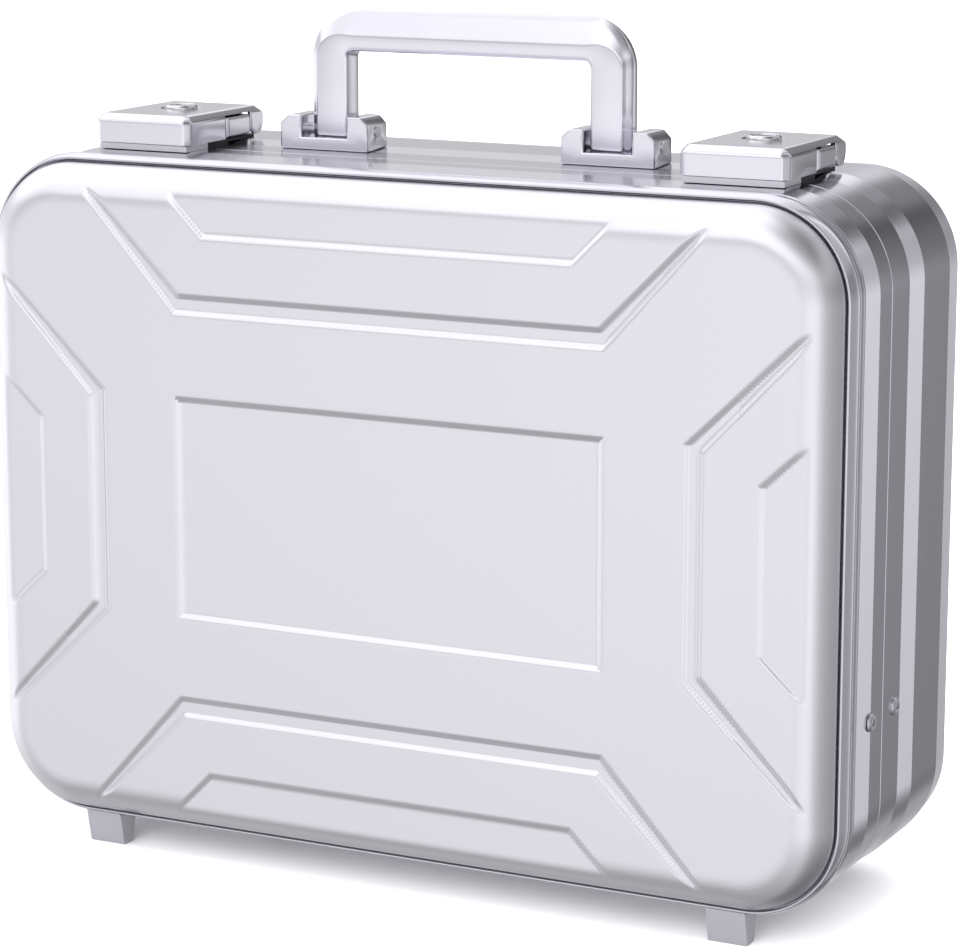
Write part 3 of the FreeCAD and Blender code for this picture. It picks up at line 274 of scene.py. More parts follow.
def grain(tree, size, detail=3.0, stretch=(1.0, 1.0, 1.0)):
    """Noise whose grains have the given size in metres, stretched along each axis."""
    where = add_node(tree, "ShaderNodeTexCoord")
    scale = [1.0 / (size * s) for s in stretch]
    mapped = add_node(tree, "ShaderNodeMapping", {"Scale": scale},
                      {"Vector": where.outputs["Object"]})
    made = add_node(tree, "ShaderNodeTexNoise", {"Scale": 1.0, "Detail": detail},
                    {"Vector": mapped.outputs["Vector"]})
    return made.outputs["Fac"]


def blasted_aluminium(hexadecimal):
    """Bead-blasted and clear-anodised sheet: an even satin glow with a very fine grain.
    Real grit marks are about 0.1 mm across, and are drawn at 0.5 mm so that they show."""
    made, tree, shader = new_material("blasted_anodised_aluminium", hexadecimal, Metallic=1.0,
                                      Roughness=0.3)
    fine = grain(tree, 0.5 * MM)
    bump(tree, shader, fine, 0.12, 0.02 * MM)
    broad = grain(tree, 60.0 * MM, 2.0)
    tone(tree, shader, broad, hexadecimal, 0.015)
    rough_between(tree, shader, broad, 0.28, 0.33)
    return made


def brushed_aluminium(name, hexadecimal, low, high):
    """Extruded and brushed along its length: streaks run round the case.
    Real brush lines are about 0.05 mm apart, and are drawn at 0.3 mm so that they show."""
    made, tree, shader = new_material(name, hexadecimal, Metallic=1.0, Roughness=high)
    lines = grain(tree, 0.3 * MM, 2.0, (220.0, 1.0, 220.0))
    bump(tree, shader, lines, 0.08, 0.01 * MM)
    tone(tree, shader, lines, hexadecimal, 0.05)
    rough_between(tree, shader, lines, low, high)
    return made


def satin_casting(hexadecimal):
    """Die-cast zinc alloy with a satin nickel finish: smooth, with a faint cast skin.
    The skin's unevenness is about 1 mm across."""
    made, tree, shader = new_material("satin_die_casting", hexadecimal, Metallic=1.0,
                                      Roughness=0.2)
    skin = grain(tree, 0.8 * MM)
    bump(tree, shader, skin, 0.1, 0.02 * MM)
    wear = grain(tree, 25.0 * MM, 4.0)
    tone(tree, shader, wear, hexadecimal, 0.03)
    rough_between(tree, shader, wear, 0.14, 0.2)
    return made


def plated_steel(hexadecimal):
    """Zinc-plated stamped steel: bright, with cloudy plating spots about 3 mm across."""
    made, tree, shader = new_material("zinc_plated_steel", hexadecimal, Metallic=1.0,
                                      Roughness=0.3)
    clouds = grain(tree, 3.0 * MM, 4.0)
    tone(tree, shader, clouds, hexadecimal, 0.08)
    rough_between(tree, shader, clouds, 0.24, 0.38)
    return made


def polished_chrome(hexadecimal):
    """Bright chrome plating with hairline polishing marks, drawn 0.3 mm apart."""
    made, tree, shader = new_material("polished_chrome", hexadecimal, Metallic=1.0,
                                      Roughness=0.12)
    marks = grain(tree, 0.3 * MM, 2.0)
    rough_between(tree, shader, marks, 0.04, 0.1)
    return made


def moulded_plastic(name, hexadecimal, roughness, metal):
    """Spark-eroded moulded plastic: a fine even grain about 0.3 mm across, soft highlights."""
    made, tree, shader = new_material(name, hexadecimal, Metallic=metal, Roughness=roughness,
                                      IOR=1.49)
    skin = grain(tree, 0.35 * MM)
    bump(tree, shader, skin, 0.2, 0.02 * MM)
    tone(tree, shader, grain(tree, 12.0 * MM), hexadecimal, 0.04)
    rough_between(tree, shader, skin, roughness - 0.05, roughness + 0.05)
    return made


def black_rubber(hexadecimal):
    """Extruded rubber: dull black with a dusty bloom about 5 mm across."""
    made, tree, shader = new_material("extruded_rubber", hexadecimal, Roughness=0.85, IOR=1.52)
    bloom = grain(tree, 5.0 * MM, 5.0)
    tone(tree, shader, bloom, hexadecimal, 0.25)
    bump(tree, shader, grain(tree, 0.4 * MM), 0.2, 0.03 * MM)
    return made


def cut_foam(hexadecimal):
    """Cut open-cell polyurethane foam: dark, light-swallowing, pitted with cells, with painted shade in
    each cell's pit.
    Real cells are about 0.5 mm across, and are drawn at 1.2 mm so that they show."""
    made, tree, shader = new_material("cut_polyurethane_foam", hexadecimal, Roughness=0.95,
                                      IOR=1.45, Sheen_Weight=0.25, Sheen_Roughness=0.6)
    where = add_node(tree, "ShaderNodeTexCoord")
    cells = add_node(tree, "ShaderNodeTexVoronoi", {"Scale": 1.0 / (1.2 * MM)},
                     {"Vector": where.outputs["Object"]})
    bump(tree, shader, cells.outputs["Distance"], 0.7, 0.5 * MM)
    # The colour darkens where the bump sinks each cell: painted shade in the pits.
    tone(tree, shader, cells.outputs["Distance"], hexadecimal, 0.3)
    return made


# ---------------------------------------------------------------- mesh helpers
def piece(name, mesh, body, node, materials, sharp=None):
    """Puts a finished mesh in the scene in place of a CAD node, riding on its body.
    sharp is the angle in degrees from which an edge stays sharp; None sets none."""
    made = bpy.data.objects.new(name, mesh)
    bpy.context.scene.collection.objects.link(made)
    mesh.materials.clear()
    for material in materials:
        mesh.materials.append(material)
    mesh.polygons.foreach_set("use_smooth", [True] * len(mesh.polygons))
    if sharp is not None:
        mesh.set_sharp_from_angle(angle=math.radians(sharp))
    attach(made, body)
    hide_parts(node)
    return made


def mesh_from(name, points, faces):
    """A mesh made of points in metres and faces that list them."""
    made = bpy.data.meshes.new(name)
    made.from_pydata([tuple(p) for p in points], [], faces)
    made.update()
    return made


def body_of(node):
    """The name of the body that a CAD node belongs to."""
    return frame["nodes"][node]["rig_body"]


def paint(material, *nodes):
    """Gives CAD nodes that keep their own shape their finish."""
    for node in nodes:
        mesh = frame["nodes"][node].data
        mesh.materials.clear()
        mesh.materials.append(material)


def even_shading(made):
    """Keeps broad flat faces flat in the light, next to small rounded edges."""
    weighted = made.modifiers.new("even_shading", "WEIGHTED_NORMAL")
    weighted.keep_sharp = True


def gap_between(first, second):
    """Distance between two edges of a flat face, which is least at one of their ends."""
    found = []
    for one, other in ((first, second), (second, first)):
        start, end = [v.co for v in other.verts]
        for vertex in one.verts:
            _, share = intersect_point_line(vertex.co, start, end)
            found.append((start.lerp(end, min(max(share, 0.0), 1.0)) - vertex.co).length)
    return min(found)


def direction(edge):
    """The way an edge runs, one unit long."""
    return (edge.verts[1].co - edge.verts[0].co).normalized()


def with_room(edges, radius):
    """The edges that can be rounded without meeting a parallel edge of the same face.
    Where two of them are too close for both roundings, the shorter one stays sharp."""
    middle = sum((v.co for e in edges for v in e.verts), Vector()) / (2.0 * len(edges))

    def standing(edge):
        centre = (edge.verts[0].co + edge.verts[1].co) / 2.0
        return round(edge.calc_length(), 5), (centre - middle).length

    spare = 1.05
    kept = set(edges)
    for edge in sorted(edges, key=standing):
        for other in [e for face in edge.link_faces for e in face.edges]:
            room = 2.0 * radius if other in kept else radius
            beside = abs(direction(edge).dot(direction(other))) > 0.9
            apart = not set(other.verts) & set(edge.verts)
            if beside and apart and gap_between(edge, other) < spare * room:
                kept.discard(edge)
                break
    return [e for e in edges if e in kept]


def soften(node, radius, material, shortest=0.0, seat=0.0):
    """A copy of a CAD node's mesh with its outer sharp edges rounded, in the node's place.
    Edges below the shortest length, such as those of small bores, stay sharp, and so do
    edges that lie within the seat's height above the underside."""
    work = bmesh.new()
    work.from_mesh(frame["nodes"][node].data)
    bmesh.ops.remove_doubles(work, verts=work.verts, dist=SAME_POINT)
    bmesh.ops.dissolve_limit(work, angle_limit=math.radians(FLAT_ANGLE), verts=work.verts,
                             edges=work.edges)
    seat_z = min(v.co.z for v in work.verts) + seat
    sharp = [e for e in work.edges
             if e.is_convex and e.calc_face_angle(0.0) > math.radians(SHARP_CORNER)
             and e.calc_length() >= shortest and max(v.co.z for v in e.verts) >= seat_z]
    if shortest:
        sharp = with_room(sharp, radius)
    bmesh.ops.bevel(work, geom=sharp, offset=radius, offset_type="OFFSET", segments=3,
                    profile=0.5, affect="EDGES", clamp_overlap=shortest == 0.0)
    bmesh.ops.connect_verts_concave(work, faces=work.faces)
    mesh = bpy.data.meshes.new(node + "_finished")
    work.to_mesh(mesh)
    work.free()
    made = piece(node + "_finished", mesh, body_of(node), node, [material], 40.0)
    even_shading(made)
    return made


# ---------------------------------------------------------------- pressed shells
SHELL_ARC = 22          # steps round each corner
EDGE_TURNS = (0.0, 15.0, 28.0, 38.0, 46.0, 52.0)   # degrees round the edge, up to the pressed part


def inside_distance(x, z, outline):
    """Distance from each point to a closed outline, positive inside it."""
    best = np.full(x.shape, np.inf)
    inside = np.zeros(x.shape, bool)
    for (x0, z0), (x1, z1) in zip(outline, outline[1:] + outline[:1]):
        dx, dz = x1 - x0, z1 - z0
        along = np.clip(((x - x0) * dx + (z - z0) * dz) / (dx * dx + dz * dz), 0.0, 1.0)
        best = np.minimum(best, np.hypot(x - x0 - along * dx, z - z0 - along * dz))
        if z0 != z1:
            crosses = (z0 > z) != (z1 > z)
            inside ^= crosses & (x < dx * (z - z0) / (z1 - z0) + x0)
    return np.where(inside, best, -best)


def pressed_fields(half_x, half_z):
    """Outlines of the sunk fields: the label, and a channel and a step towards each edge."""
    s = bpy.context.scene.case_shell
    fields = [[(-s.label_x, -s.label_z), (s.label_x, -s.label_z),
               (s.label_x, s.label_z), (-s.label_x, s.label_z)]]
    over = 5.0 * MM     # the outlines end this far past the shell's edge
    slant = 3.2 * MM    # the far wall's bend lies this far inside the near wall's, top and bottom
    cut = 4.0 * MM      # the same for the side channels
    short = 14.0 * MM   # each step's bend lies this far inside its channel's
    lean = {"top_near": 0.9, "side_near": 0.96, "side_far": 1.05, "side_step": 0.93}
    reach_x, reach_z = half_x + over, half_z + over
    for way in (1.0, -1.0):
        near, far = s.channel_z, s.channel_z + s.channel_wide_z
        run_near = (reach_z - near) * lean["top_near"] + s.label_x
        run_far = reach_z - far + s.label_x - slant
        fields.append([(-s.label_x, way * near), (s.label_x, way * near),
                       (run_near, way * reach_z), (run_far, way * reach_z),
                       (s.label_x - slant, way * far), (slant - s.label_x, way * far),
                       (-run_far, way * reach_z), (-run_near, way * reach_z)])
        start = s.label_x - short
        end = start + reach_z - s.step_z
        fields.append([(-start, way * s.step_z), (start, way * s.step_z),
                       (end, way * reach_z), (-end, way * reach_z)])
        near, far = s.channel_x, s.channel_x + s.channel_wide_x
        run_near = (reach_x - near) * lean["side_near"] + s.label_z
        run_far = (reach_x - far) * lean["side_far"] + s.label_z - cut
        fields.append([(way * near, -s.label_z), (way * near, s.label_z),
                       (way * reach_x, run_near), (way * reach_x, run_far),
                       (way * far, s.label_z - cut), (way * far, cut - s.label_z),
                       (way * reach_x, -run_far), (way * reach_x, -run_near)])
        start = s.label_z - short
        end = start + (reach_x - s.step_x) * lean["side_step"]
        fields.append([(way * s.step_x, -start), (way * s.step_x, start),
                       (way * reach_x, end), (way * reach_x, -end)])
    return fields


class ShellSurface:
    """The outer surface of a pressed shell: a depth below the face at every point."""

    def __init__(self, half_x, half_z):
        self.sizes = bpy.context.scene.case_shell
        self.half_x, self.half_z = half_x, half_z
        self.fields = pressed_fields(half_x, half_z)

    def edge_distance(self, x, z):
        """Distance from the shell's outline, inwards."""
        corner = self.sizes.corner
        px = np.abs(x) - (self.half_x - corner)
        pz = np.abs(z) - (self.half_z - corner)
        outside = np.hypot(np.maximum(px, 0.0), np.maximum(pz, 0.0))
        return corner - outside - np.minimum(np.maximum(px, pz), 0.0)

    def depth(self, x, z):
        """Depth below the face: the rounded edge, with the sunk fields blended in."""
        s = self.sizes
        inset = np.clip(self.edge_distance(x, z), 0.0, s.edge_round)
        fall = s.edge_round - np.sqrt(np.maximum(s.edge_round ** 2 - (s.edge_round - inset) ** 2,
                                                 0.0))
        sunk = np.zeros(x.shape)
        for field in self.fields:
            share = np.clip(inside_distance(x, z, field) / s.wall, 0.0, 1.0)
            sunk = np.maximum(sunk, s.recess * share * share * (3.0 - 2.0 * share))
        mix = np.clip(0.5 + 0.5 * (sunk - fall) / s.blend, 0.0, 1.0)
        return fall + mix * (sunk - fall) + s.blend * mix * (1.0 - mix) - s.blend / 4.0

    def normals(self, x, z):
        """Outward normals of the face as (sideways, inwards, upwards)."""
        e = 0.05 * MM
        slope_x = (self.depth(x + e, z) - self.depth(x - e, z)) / (2.0 * e)
        slope_z = (self.depth(x, z + e) - self.depth(x, z - e)) / (2.0 * e)
        found = np.stack([slope_x, -np.ones(x.shape), slope_z], 1)
        return found / np.linalg.norm(found, axis=1, keepdims=True)


def shell_rings(surface, steps_x, steps_z, arc_steps):
    """The centres that all rings are drawn round, and each ring point's outward direction."""
    s = surface.sizes
    cx, cz = surface.half_x - s.corner, surface.half_z - s.corner
    spots, ways = [], []
    for quarter in range(4):
        turn = quarter * QUARTER
        out = np.array([math.sin(turn), -math.cos(turn)])
        start = np.array([(-cx, -cz), (cx, -cz), (cx, cz), (-cx, cz)][quarter])
        end = np.array([(cx, -cz), (cx, cz), (-cx, cz), (-cx, -cz)][quarter])
        steps = steps_x if quarter % 2 == 0 else steps_z
        for i in range(steps):
            spots.append(start + (end - start) * i / steps)
            ways.append(out)
        for i in range(arc_steps):
            angle = turn + QUARTER * i / arc_steps
            spots.append(end)
            ways.append(np.array([math.sin(angle), -math.cos(angle)]))
    return np.array(spots), np.array(ways)


def inner_links(steps_x, steps_z, arc_steps, first):
    """For each ring point, the index of the face grid's vertex that it joins."""
    def at(i, j):
        return first + j * (steps_x + 1) + i

    links = []
    links += [at(i, 0) for i in range(steps_x)] + [at(steps_x, 0)] * arc_steps
    links += [at(steps_x, j) for j in range(steps_z)] + [at(steps_x, steps_z)] * arc_steps
    links += [at(steps_x - i, steps_z) for i in range(steps_x)] + [at(0, steps_z)] * arc_steps
    links += [at(0, steps_z - j) for j in range(steps_z)] + [at(0, 0)] * arc_steps
    return links


def pressed_shell(half_name, material):
    """The pressed sheet of one half, with soft channel walls and a rounded edge."""
    s = bpy.context.scene.case_shell
    low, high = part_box(half_name + "_shell")
    half_x, half_z = (high.x - low.x) / 2.0, (high.z - low.z) / 2.0
    centre_z = (high.z + low.z) / 2.0
    lid = half_name == "lid"
    face_y = low.y if lid else high.y
    skirt = high.y - low.y
    surface = ShellSurface(half_x, half_z)
    steps_x = round(2.0 * (half_x - s.corner) / s.grid)
    steps_z = round(2.0 * (half_z - s.corner) / s.grid)
    arc_steps = SHELL_ARC
    spots, ways = shell_rings(surface, steps_x, steps_z, arc_steps)
    count = len(spots)

    points, normals, rings = [], [], []

    def add_ring(inset, depth, tilt):
        """One ring; depth None follows the pressed face, tilt turns its normals inwards."""
        at = spots + ways * (s.corner - inset)
        if depth is None:
            deep = surface.depth(at[:, 0], at[:, 1])
            facing = surface.normals(at[:, 0], at[:, 1])
        else:
            deep = np.full(count, depth)
            facing = np.stack([ways[:, 0] * math.cos(tilt), np.full(count, -math.sin(tilt)),
                               ways[:, 1] * math.cos(tilt)], 1)
        rings.append(len(points))
        points.extend(np.stack([at[:, 0], deep, at[:, 1]], 1))
        normals.extend(facing)

    sheet = s.sheet
    add_ring(sheet + s.edge_round, s.back, -QUARTER)
    for turn in (60.0, 30.0, 0.0):
        angle = math.radians(turn)
        add_ring(sheet + s.edge_round * (1.0 - math.cos(angle)),
                 s.back + s.edge_round * (1.0 - math.sin(angle)), angle - math.pi)
    add_ring(sheet, skirt, -math.pi)
    add_ring(sheet, skirt, -QUARTER)
    add_ring(0.0, skirt, -QUARTER)
    add_ring(0.0, skirt, 0.0)
    for turn in EDGE_TURNS[:-1]:
        angle = math.radians(turn)
        add_ring(s.edge_round * (1.0 - math.cos(angle)), s.edge_round * (1.0 - math.sin(angle)),
                 angle)
    inset = s.edge_round * (1.0 - math.cos(math.radians(EDGE_TURNS[-1])))
    while inset < s.corner - 0.6 * s.grid:
        add_ring(inset, None, 0.0)
        inset += 0.7 * s.grid if inset < s.edge_round else s.grid

    first = len(points)
    grid_x = np.linspace(s.corner - half_x, half_x - s.corner, steps_x + 1)
    grid_z = np.linspace(s.corner - half_z, half_z - s.corner, steps_z + 1)
    gx, gz = [g.ravel() for g in np.meshgrid(grid_x, grid_z)]
    points.extend(np.stack([gx, surface.depth(gx, gz), gz], 1))
    normals.extend(surface.normals(gx, gz))

    faces = [list(range(rings[0], rings[0] + count))[::-1]]
    for here, there in zip(rings, rings[1:]):
        for i in range(count):
            j = (i + 1) % count
            faces.append([here + i, here + j, there + j, there + i])
    links = inner_links(steps_x, steps_z, arc_steps, first)
    last = rings[-1]
    for i in range(count):
        j = (i + 1) % count
        corners = [last + i, last + j, links[j]]
        faces.append(corners if links[i] == links[j] else corners + [links[i]])
    row = steps_x + 1
    for j in range(steps_z):
        for i in range(steps_x):
            at = first + j * row + i
            faces.append([at, at + 1, at + row + 1, at + row])

    points, normals = np.array(points), np.array(normals)
    way = 1.0 if lid else -1.0
    placed = points * (way, way, 1.0) + (0.0, face_y, centre_z)
    normals = normals * (way, way, 1.0)
    name = half_name + "_shell_pressed"
    made = piece(name, mesh_from(name, placed, faces), half_name, half_name + "_shell",
                 [material])
    made.data.normals_split_custom_set_from_vertices([tuple(n) for n in normals])


# ---------------------------------------------------------------- extruded frames
PAINTED_SHADE, PAINTED_LIGHT = 0, 1      # the frame's two tones, in the order of its materials: a darker copy of the brushed metal as painted shade, and a lighter copy as painted highlight
FRAME_ARC = 28          # steps round each corner


def rounded_section(corners, radius, shallow=165.0):
    """A closed section with small arcs in place of its sharp corners.
    Each corner is (out, along, tone), and a fourth value keeps a curve's point as it is.
    A corner that is opened wider than the shallow angle, in degrees, stays a crisp crease.
    Each result is (out, along, tone of the face that follows, True for a crisp crease); on the frames the
    tone is painted shade or painted highlight."""
    made = []
    count = len(corners)
    for i, corner in enumerate(corners):
        here, finish = Vector(corner[:2]), corner[2]
        before = Vector(corners[i - 1][:2]) - here
        after = Vector(corners[(i + 1) % count][:2]) - here
        if len(corner) > 3 or before.angle(after) > math.radians(shallow):
            made.append((here.x, here.y, finish, len(corner) == 3))
            continue
        size = min(radius, before.length * 0.45, after.length * 0.45)
        start, end = here + before.normalized() * size, here + after.normalized() * size
        for k in range(4):
            t = k / 3.0
            spot = start * (1 - t) ** 2 + here * 2 * t * (1 - t) + end * t ** 2
            made.append((spot.x, spot.y, finish if k == 3 else corners[i - 1][2], False))
    return made


def bead_points(rim, deep, rise):
    """The rounded bead along the lid's rim, from the rim inwards."""
    steps = 10
    # The whole bead takes the lighter tone, painted highlight.
    return [(-rim + rise * math.sin(math.pi * k / steps), deep * k / steps, PAINTED_LIGHT, True)
            for k in range(1, steps)]


def lid_section():
    """The lid frame's section as (outwards from the flats, inwards from the rim, painted tone)."""
    s = bpy.context.scene.case_frame
    low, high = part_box("lid_frame")
    seam = high.y - s.tongue_long - low.y
    face = seam - s.seam_gap / 2.0
    mouth = -s.skirt + s.lip_gap
    tongue_in = s.tongue + s.tongue_thick
    return [(mouth, 0.0, PAINTED_SHADE), (-s.rim, 0.0, PAINTED_LIGHT), *bead_points(s.rim, s.bead, s.bead_rise),
            (-s.rim, s.bead, PAINTED_SHADE), (-s.groove, s.bead + s.groove_slope, PAINTED_SHADE),
            (-s.groove, s.bead + s.groove_wide - s.groove_slope, PAINTED_SHADE),
            (-s.ramp, s.bead + s.groove_wide, PAINTED_LIGHT),
            (0.0, seam - s.lid_flat, PAINTED_SHADE), (0.0, face - s.seam_edge, PAINTED_LIGHT), (-s.seam_edge, face, PAINTED_SHADE),
            (-s.tongue, face, PAINTED_SHADE), (-s.tongue, seam + s.tongue_long, PAINTED_SHADE),
            (-tongue_in, seam + s.tongue_long, PAINTED_SHADE), (-tongue_in, face, PAINTED_SHADE),
            (-s.flange, face, PAINTED_SHADE), (-s.flange, seam - s.lid_flange, PAINTED_SHADE),
            (-s.ledge, seam - s.lid_flange - s.slope, PAINTED_SHADE), (-s.ledge, s.skirt_deep, PAINTED_SHADE),
            (-s.skirt, s.skirt_deep, PAINTED_SHADE), (-s.skirt, s.lip_deep, PAINTED_SHADE), (mouth, s.lip_deep, PAINTED_SHADE)]


def base_section():
    """The base frame's section, in the same terms."""
    s = bpy.context.scene.case_frame
    low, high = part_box("base_frame")
    seam = high.y - low.y + s.seam_gap / 2.0
    face = seam - s.seam_gap / 2.0
    mouth = -s.skirt + s.lip_gap
    slot_out = s.tongue - s.tongue_room
    slot_in = s.tongue + s.tongue_thick + s.tongue_room
    floor = face - s.channel
    return [(mouth, 0.0, PAINTED_SHADE), (-s.rim, 0.0, PAINTED_LIGHT), (s.lip - s.rim, 2.0 * s.lip, PAINTED_LIGHT),
            (s.rise, s.rear_ramp, PAINTED_SHADE), (s.rise, seam - s.base_flat - s.ramp_deep, PAINTED_LIGHT),
            (0.0, seam - s.base_flat, PAINTED_SHADE), (0.0, face - s.seam_edge, PAINTED_LIGHT), (-s.seam_edge, face, PAINTED_SHADE),
            (-slot_out, face, PAINTED_SHADE), (-slot_out, floor, PAINTED_SHADE), (-slot_in, floor, PAINTED_SHADE),
            (-slot_in, face, PAINTED_SHADE), (-s.flange, face, PAINTED_SHADE), (-s.flange, seam - s.base_flange, PAINTED_SHADE),
            (-s.thin, seam - s.base_flange - s.slope, PAINTED_SHADE),
            (-s.thin, s.skirt_deep + s.shoulder + s.slope, PAINTED_SHADE),
            (-s.ledge, s.skirt_deep + s.shoulder, PAINTED_SHADE), (-s.ledge, s.skirt_deep, PAINTED_SHADE),
            (-s.skirt, s.skirt_deep, PAINTED_SHADE), (-s.skirt, s.lip_deep, PAINTED_SHADE), (mouth, s.lip_deep, PAINTED_SHADE)]


def swept_ring(half_name, section, rim_y, inwards, materials):
    """Sweeps a section round the case; rim_y is its rim and inwards the way it grows."""
    s = bpy.context.scene.case_frame
    node = half_name + "_frame"
    name = node + "_extruded"
    low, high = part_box("lid_frame")
    centre_z = (low.z + high.z) / 2.0
    past = s.corner + max(p[0] for p in lid_section())
    cx, cz = high.x - past, (high.z - low.z) / 2.0 - past
    rounded = rounded_section(section, s.edge)
    path = []
    for quarter, (px, pz) in enumerate(((cx, -cz), (cx, cz), (-cx, cz), (-cx, -cz))):
        for i in range(FRAME_ARC + 1):
            angle = quarter * QUARTER + QUARTER * i / FRAME_ARC
            path.append((px, pz, math.sin(angle), -math.cos(angle)))
    points, faces, painted_tones = [], [], []
    for px, pz, ox, oz in path:
        for out, along, _, _ in rounded:
            reach = s.corner + out
            points.append((px + ox * reach, rim_y + inwards * along, centre_z + pz + oz * reach))
    count, turns = len(rounded), len(path)
    for i in range(turns):
        here, there = i * count, ((i + 1) % turns) * count
        for j in range(count):
            k = (j + 1) % count
            face = [here + j, there + j, there + k, here + k]
            faces.append(face if inwards > 0 else face[::-1])
            # Each face takes its point's tone: painted shade on the flats, and painted highlight on the
            # facets and bead.
            painted_tones.append(rounded[j][2])
    made = piece(name, mesh_from(name, points, faces), half_name, node,
                 materials)
    made.data.polygons.foreach_set("material_index", painted_tones)
    crisp = made.data.attributes.new("sharp_edge", "BOOLEAN", "EDGE")
    for edge in made.data.edges:
        first, second = [vertex % count for vertex in edge.vertices]
        crisp.data[edge.index].value = first == second and rounded[first][3]
    even_shading(made)


# ---------------------------------------------------------------- handle
def handle_section(wide, deep, crease, back_off):
    """Half-round grip section as (outwards from the inner edge, forwards from the middle)."""
    half = deep / 2.0
    nick = 1.2 * MM         # bevel of the inner edges
    rim_x, rim_y = 2.6 * MM, 2.0 * MM       # bevel of the outer edges
    edge = 0.8 * MM
    always = 180.1          # rounds every corner, so that all sections have as many points
    front = [(nick, half, 0), (crease, half, 0), (wide - rim_x, half - back_off, 0),
             (wide, half - back_off - rim_y, 0)]
    back = [(a, -b, 0) for a, b, _ in reversed(front)]
    return rounded_section([(0.0, half - nick, 0), *front, *back, (0.0, nick - half, 0)],
                           edge, always)


def carrying_handle(material):
    """The arched handle, swept from leg to leg; its front bevel widens along the grip."""
    s = bpy.context.scene.case_handle
    low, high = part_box("handle")
    middle_y, deep = (low.y + high.y) / 2.0, high.y - low.y
    half = deep / 2.0
    pin_z = low.z + half
    inner_x, inner_top = high.x - s.leg_wide, high.z - s.grip_tall
    turn_x, turn_z = inner_x - s.inner_round, inner_top - s.inner_round
    # Each station is (x, z, turn of the section, share of the turn, share of the depth).
    stations = []
    toe_steps, bend_steps, least_deep, straight_end = 6, 16, 0.02, 12.0 * MM
    for k in range(toe_steps + 1):
        angle = QUARTER * (toe_steps - k) / toe_steps
        stations.append((inner_x, pin_z - half * math.sin(angle), 0.0, 0.0,
                         max(math.cos(angle), least_deep)))
    stations.append((inner_x, turn_z - straight_end, 0.0, 0.0, 1.0))
    for k in range(bend_steps + 1):
        share = k / bend_steps
        angle = QUARTER * share
        stations.append((turn_x + s.inner_round * math.cos(angle),
                         turn_z + s.inner_round * math.sin(angle), angle, share, 1.0))
    stations.append((0.0, inner_top, QUARTER, 1.0, 1.0))
    mirrored = [(-x, z, math.pi - angle, share, deepness)
                for x, z, angle, share, deepness in reversed(stations[:-1])]
    points, count = [], 0
    for x, z, angle, share, deepness in stations + mirrored:
        wide = s.leg_wide + (s.grip_tall - s.leg_wide) * share
        soft = share * share * (3.0 - 2.0 * share)
        crease = s.leg_crease + (s.grip_crease - s.leg_crease) * soft
        back_off = s.leg_bevel + (s.grip_bevel - s.leg_bevel) * soft
        section = handle_section(wide, deep, crease, back_off)
        count = len(section)
        for out, fore, _, _ in section:
            points.append((x + out * math.cos(angle), middle_y - fore * deepness,
                           z + out * math.sin(angle)))
    rings = len(points) // count
    faces = [[i * count + j, i * count + (j + 1) % count, (i + 1) * count + (j + 1) % count,
              (i + 1) * count + j] for i in range(rings - 1) for j in range(count)]
    faces += [list(range(count))[::-1], list(range((rings - 1) * count, rings * count))]
    piece("handle_cast", mesh_from("handle_cast", points, faces), "handle", "handle",
          [material], 20.0)


# ---------------------------------------------------------------- screws and keys
SCREW_STEPS = 48        # steps round a turned head
KEY_STEPS = 96


def hexagon(across):
    """Distance from a hexagon's middle to its outline, at any angle."""
    def reach(angle):
        sector = (angle + math.pi / 6.0) % (math.pi / 3.0) - math.pi / 6.0
        return across / math.cos(sector)
    return reach


def keyway(half_long, half_wide):
    """Distance from a rectangular slot's middle to its outline, at any angle."""
    def reach(angle):
        return min(half_long / max(abs(math.cos(angle)), 1e-6),
                   half_wide / max(abs(math.sin(angle)), 1e-6))
    return reach


def turned_head(radius, profile, socket, steps):
    """Rings of a turned head as (height, a, b) points, and its faces.
    profile lists (share of the radius, height); a share of None follows the socket."""
    points, faces = [], []
    for share, height in profile:
        for i in range(steps):
            angle = 2.0 * math.pi * i / steps
            reach = socket(angle) if share is None else radius * share
            points.append((height, reach * math.cos(angle), reach * math.sin(angle)))
    for ring in range(len(profile) - 1):
        for i in range(steps):
            j = (i + 1) % steps
            here, there = ring * steps, (ring + 1) * steps
            faces.append([here + i, here + j, there + j, there + i])
    last = (len(profile) - 1) * steps
    faces.append([last + i for i in range(steps)])
    faces.append(list(range(steps))[::-1])
    return points, faces


def key_cylinder(side, material):
    """The lock's key cylinder: a raised ring round a low dome with a keyway."""
    s = bpy.context.scene.case_fittings
    node = "key_cylinder_" + side
    low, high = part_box(node)
    radius = (high.x - low.x) / 2.0
    x, y = (low.x + high.x) / 2.0, (low.y + high.y) / 2.0
    rise = s.key_rise
    deck = high.z - low.z - s.key_flange
    seat = deck - 0.4 * MM
    profile = [(0.8, 0.0), (0.8, seat), (1.0, seat), (1.0, deck + 0.3 * MM),
               (0.95, deck + 0.8 * rise), (0.88, deck + rise), (0.81, deck + 0.8 * rise),
               (0.77, deck + 0.1 * rise), (0.7, deck), (0.65, deck + 0.35 * rise),
               (0.52, deck + 0.72 * rise), (0.49, deck + 0.76 * rise), (None, deck + 0.8 * rise),
               (None, deck - s.keyway_deep)]
    points, faces = turned_head(radius, profile, keyway(s.keyway_long / 2.0, s.keyway_wide / 2.0),
                                KEY_STEPS)
    placed = [(x + a, y + b, low.z + up) for up, a, b in points]
    name = node + "_turned"
    piece(name, mesh_from(name, placed, faces), "key_" + side, node, [material],
          40.0)


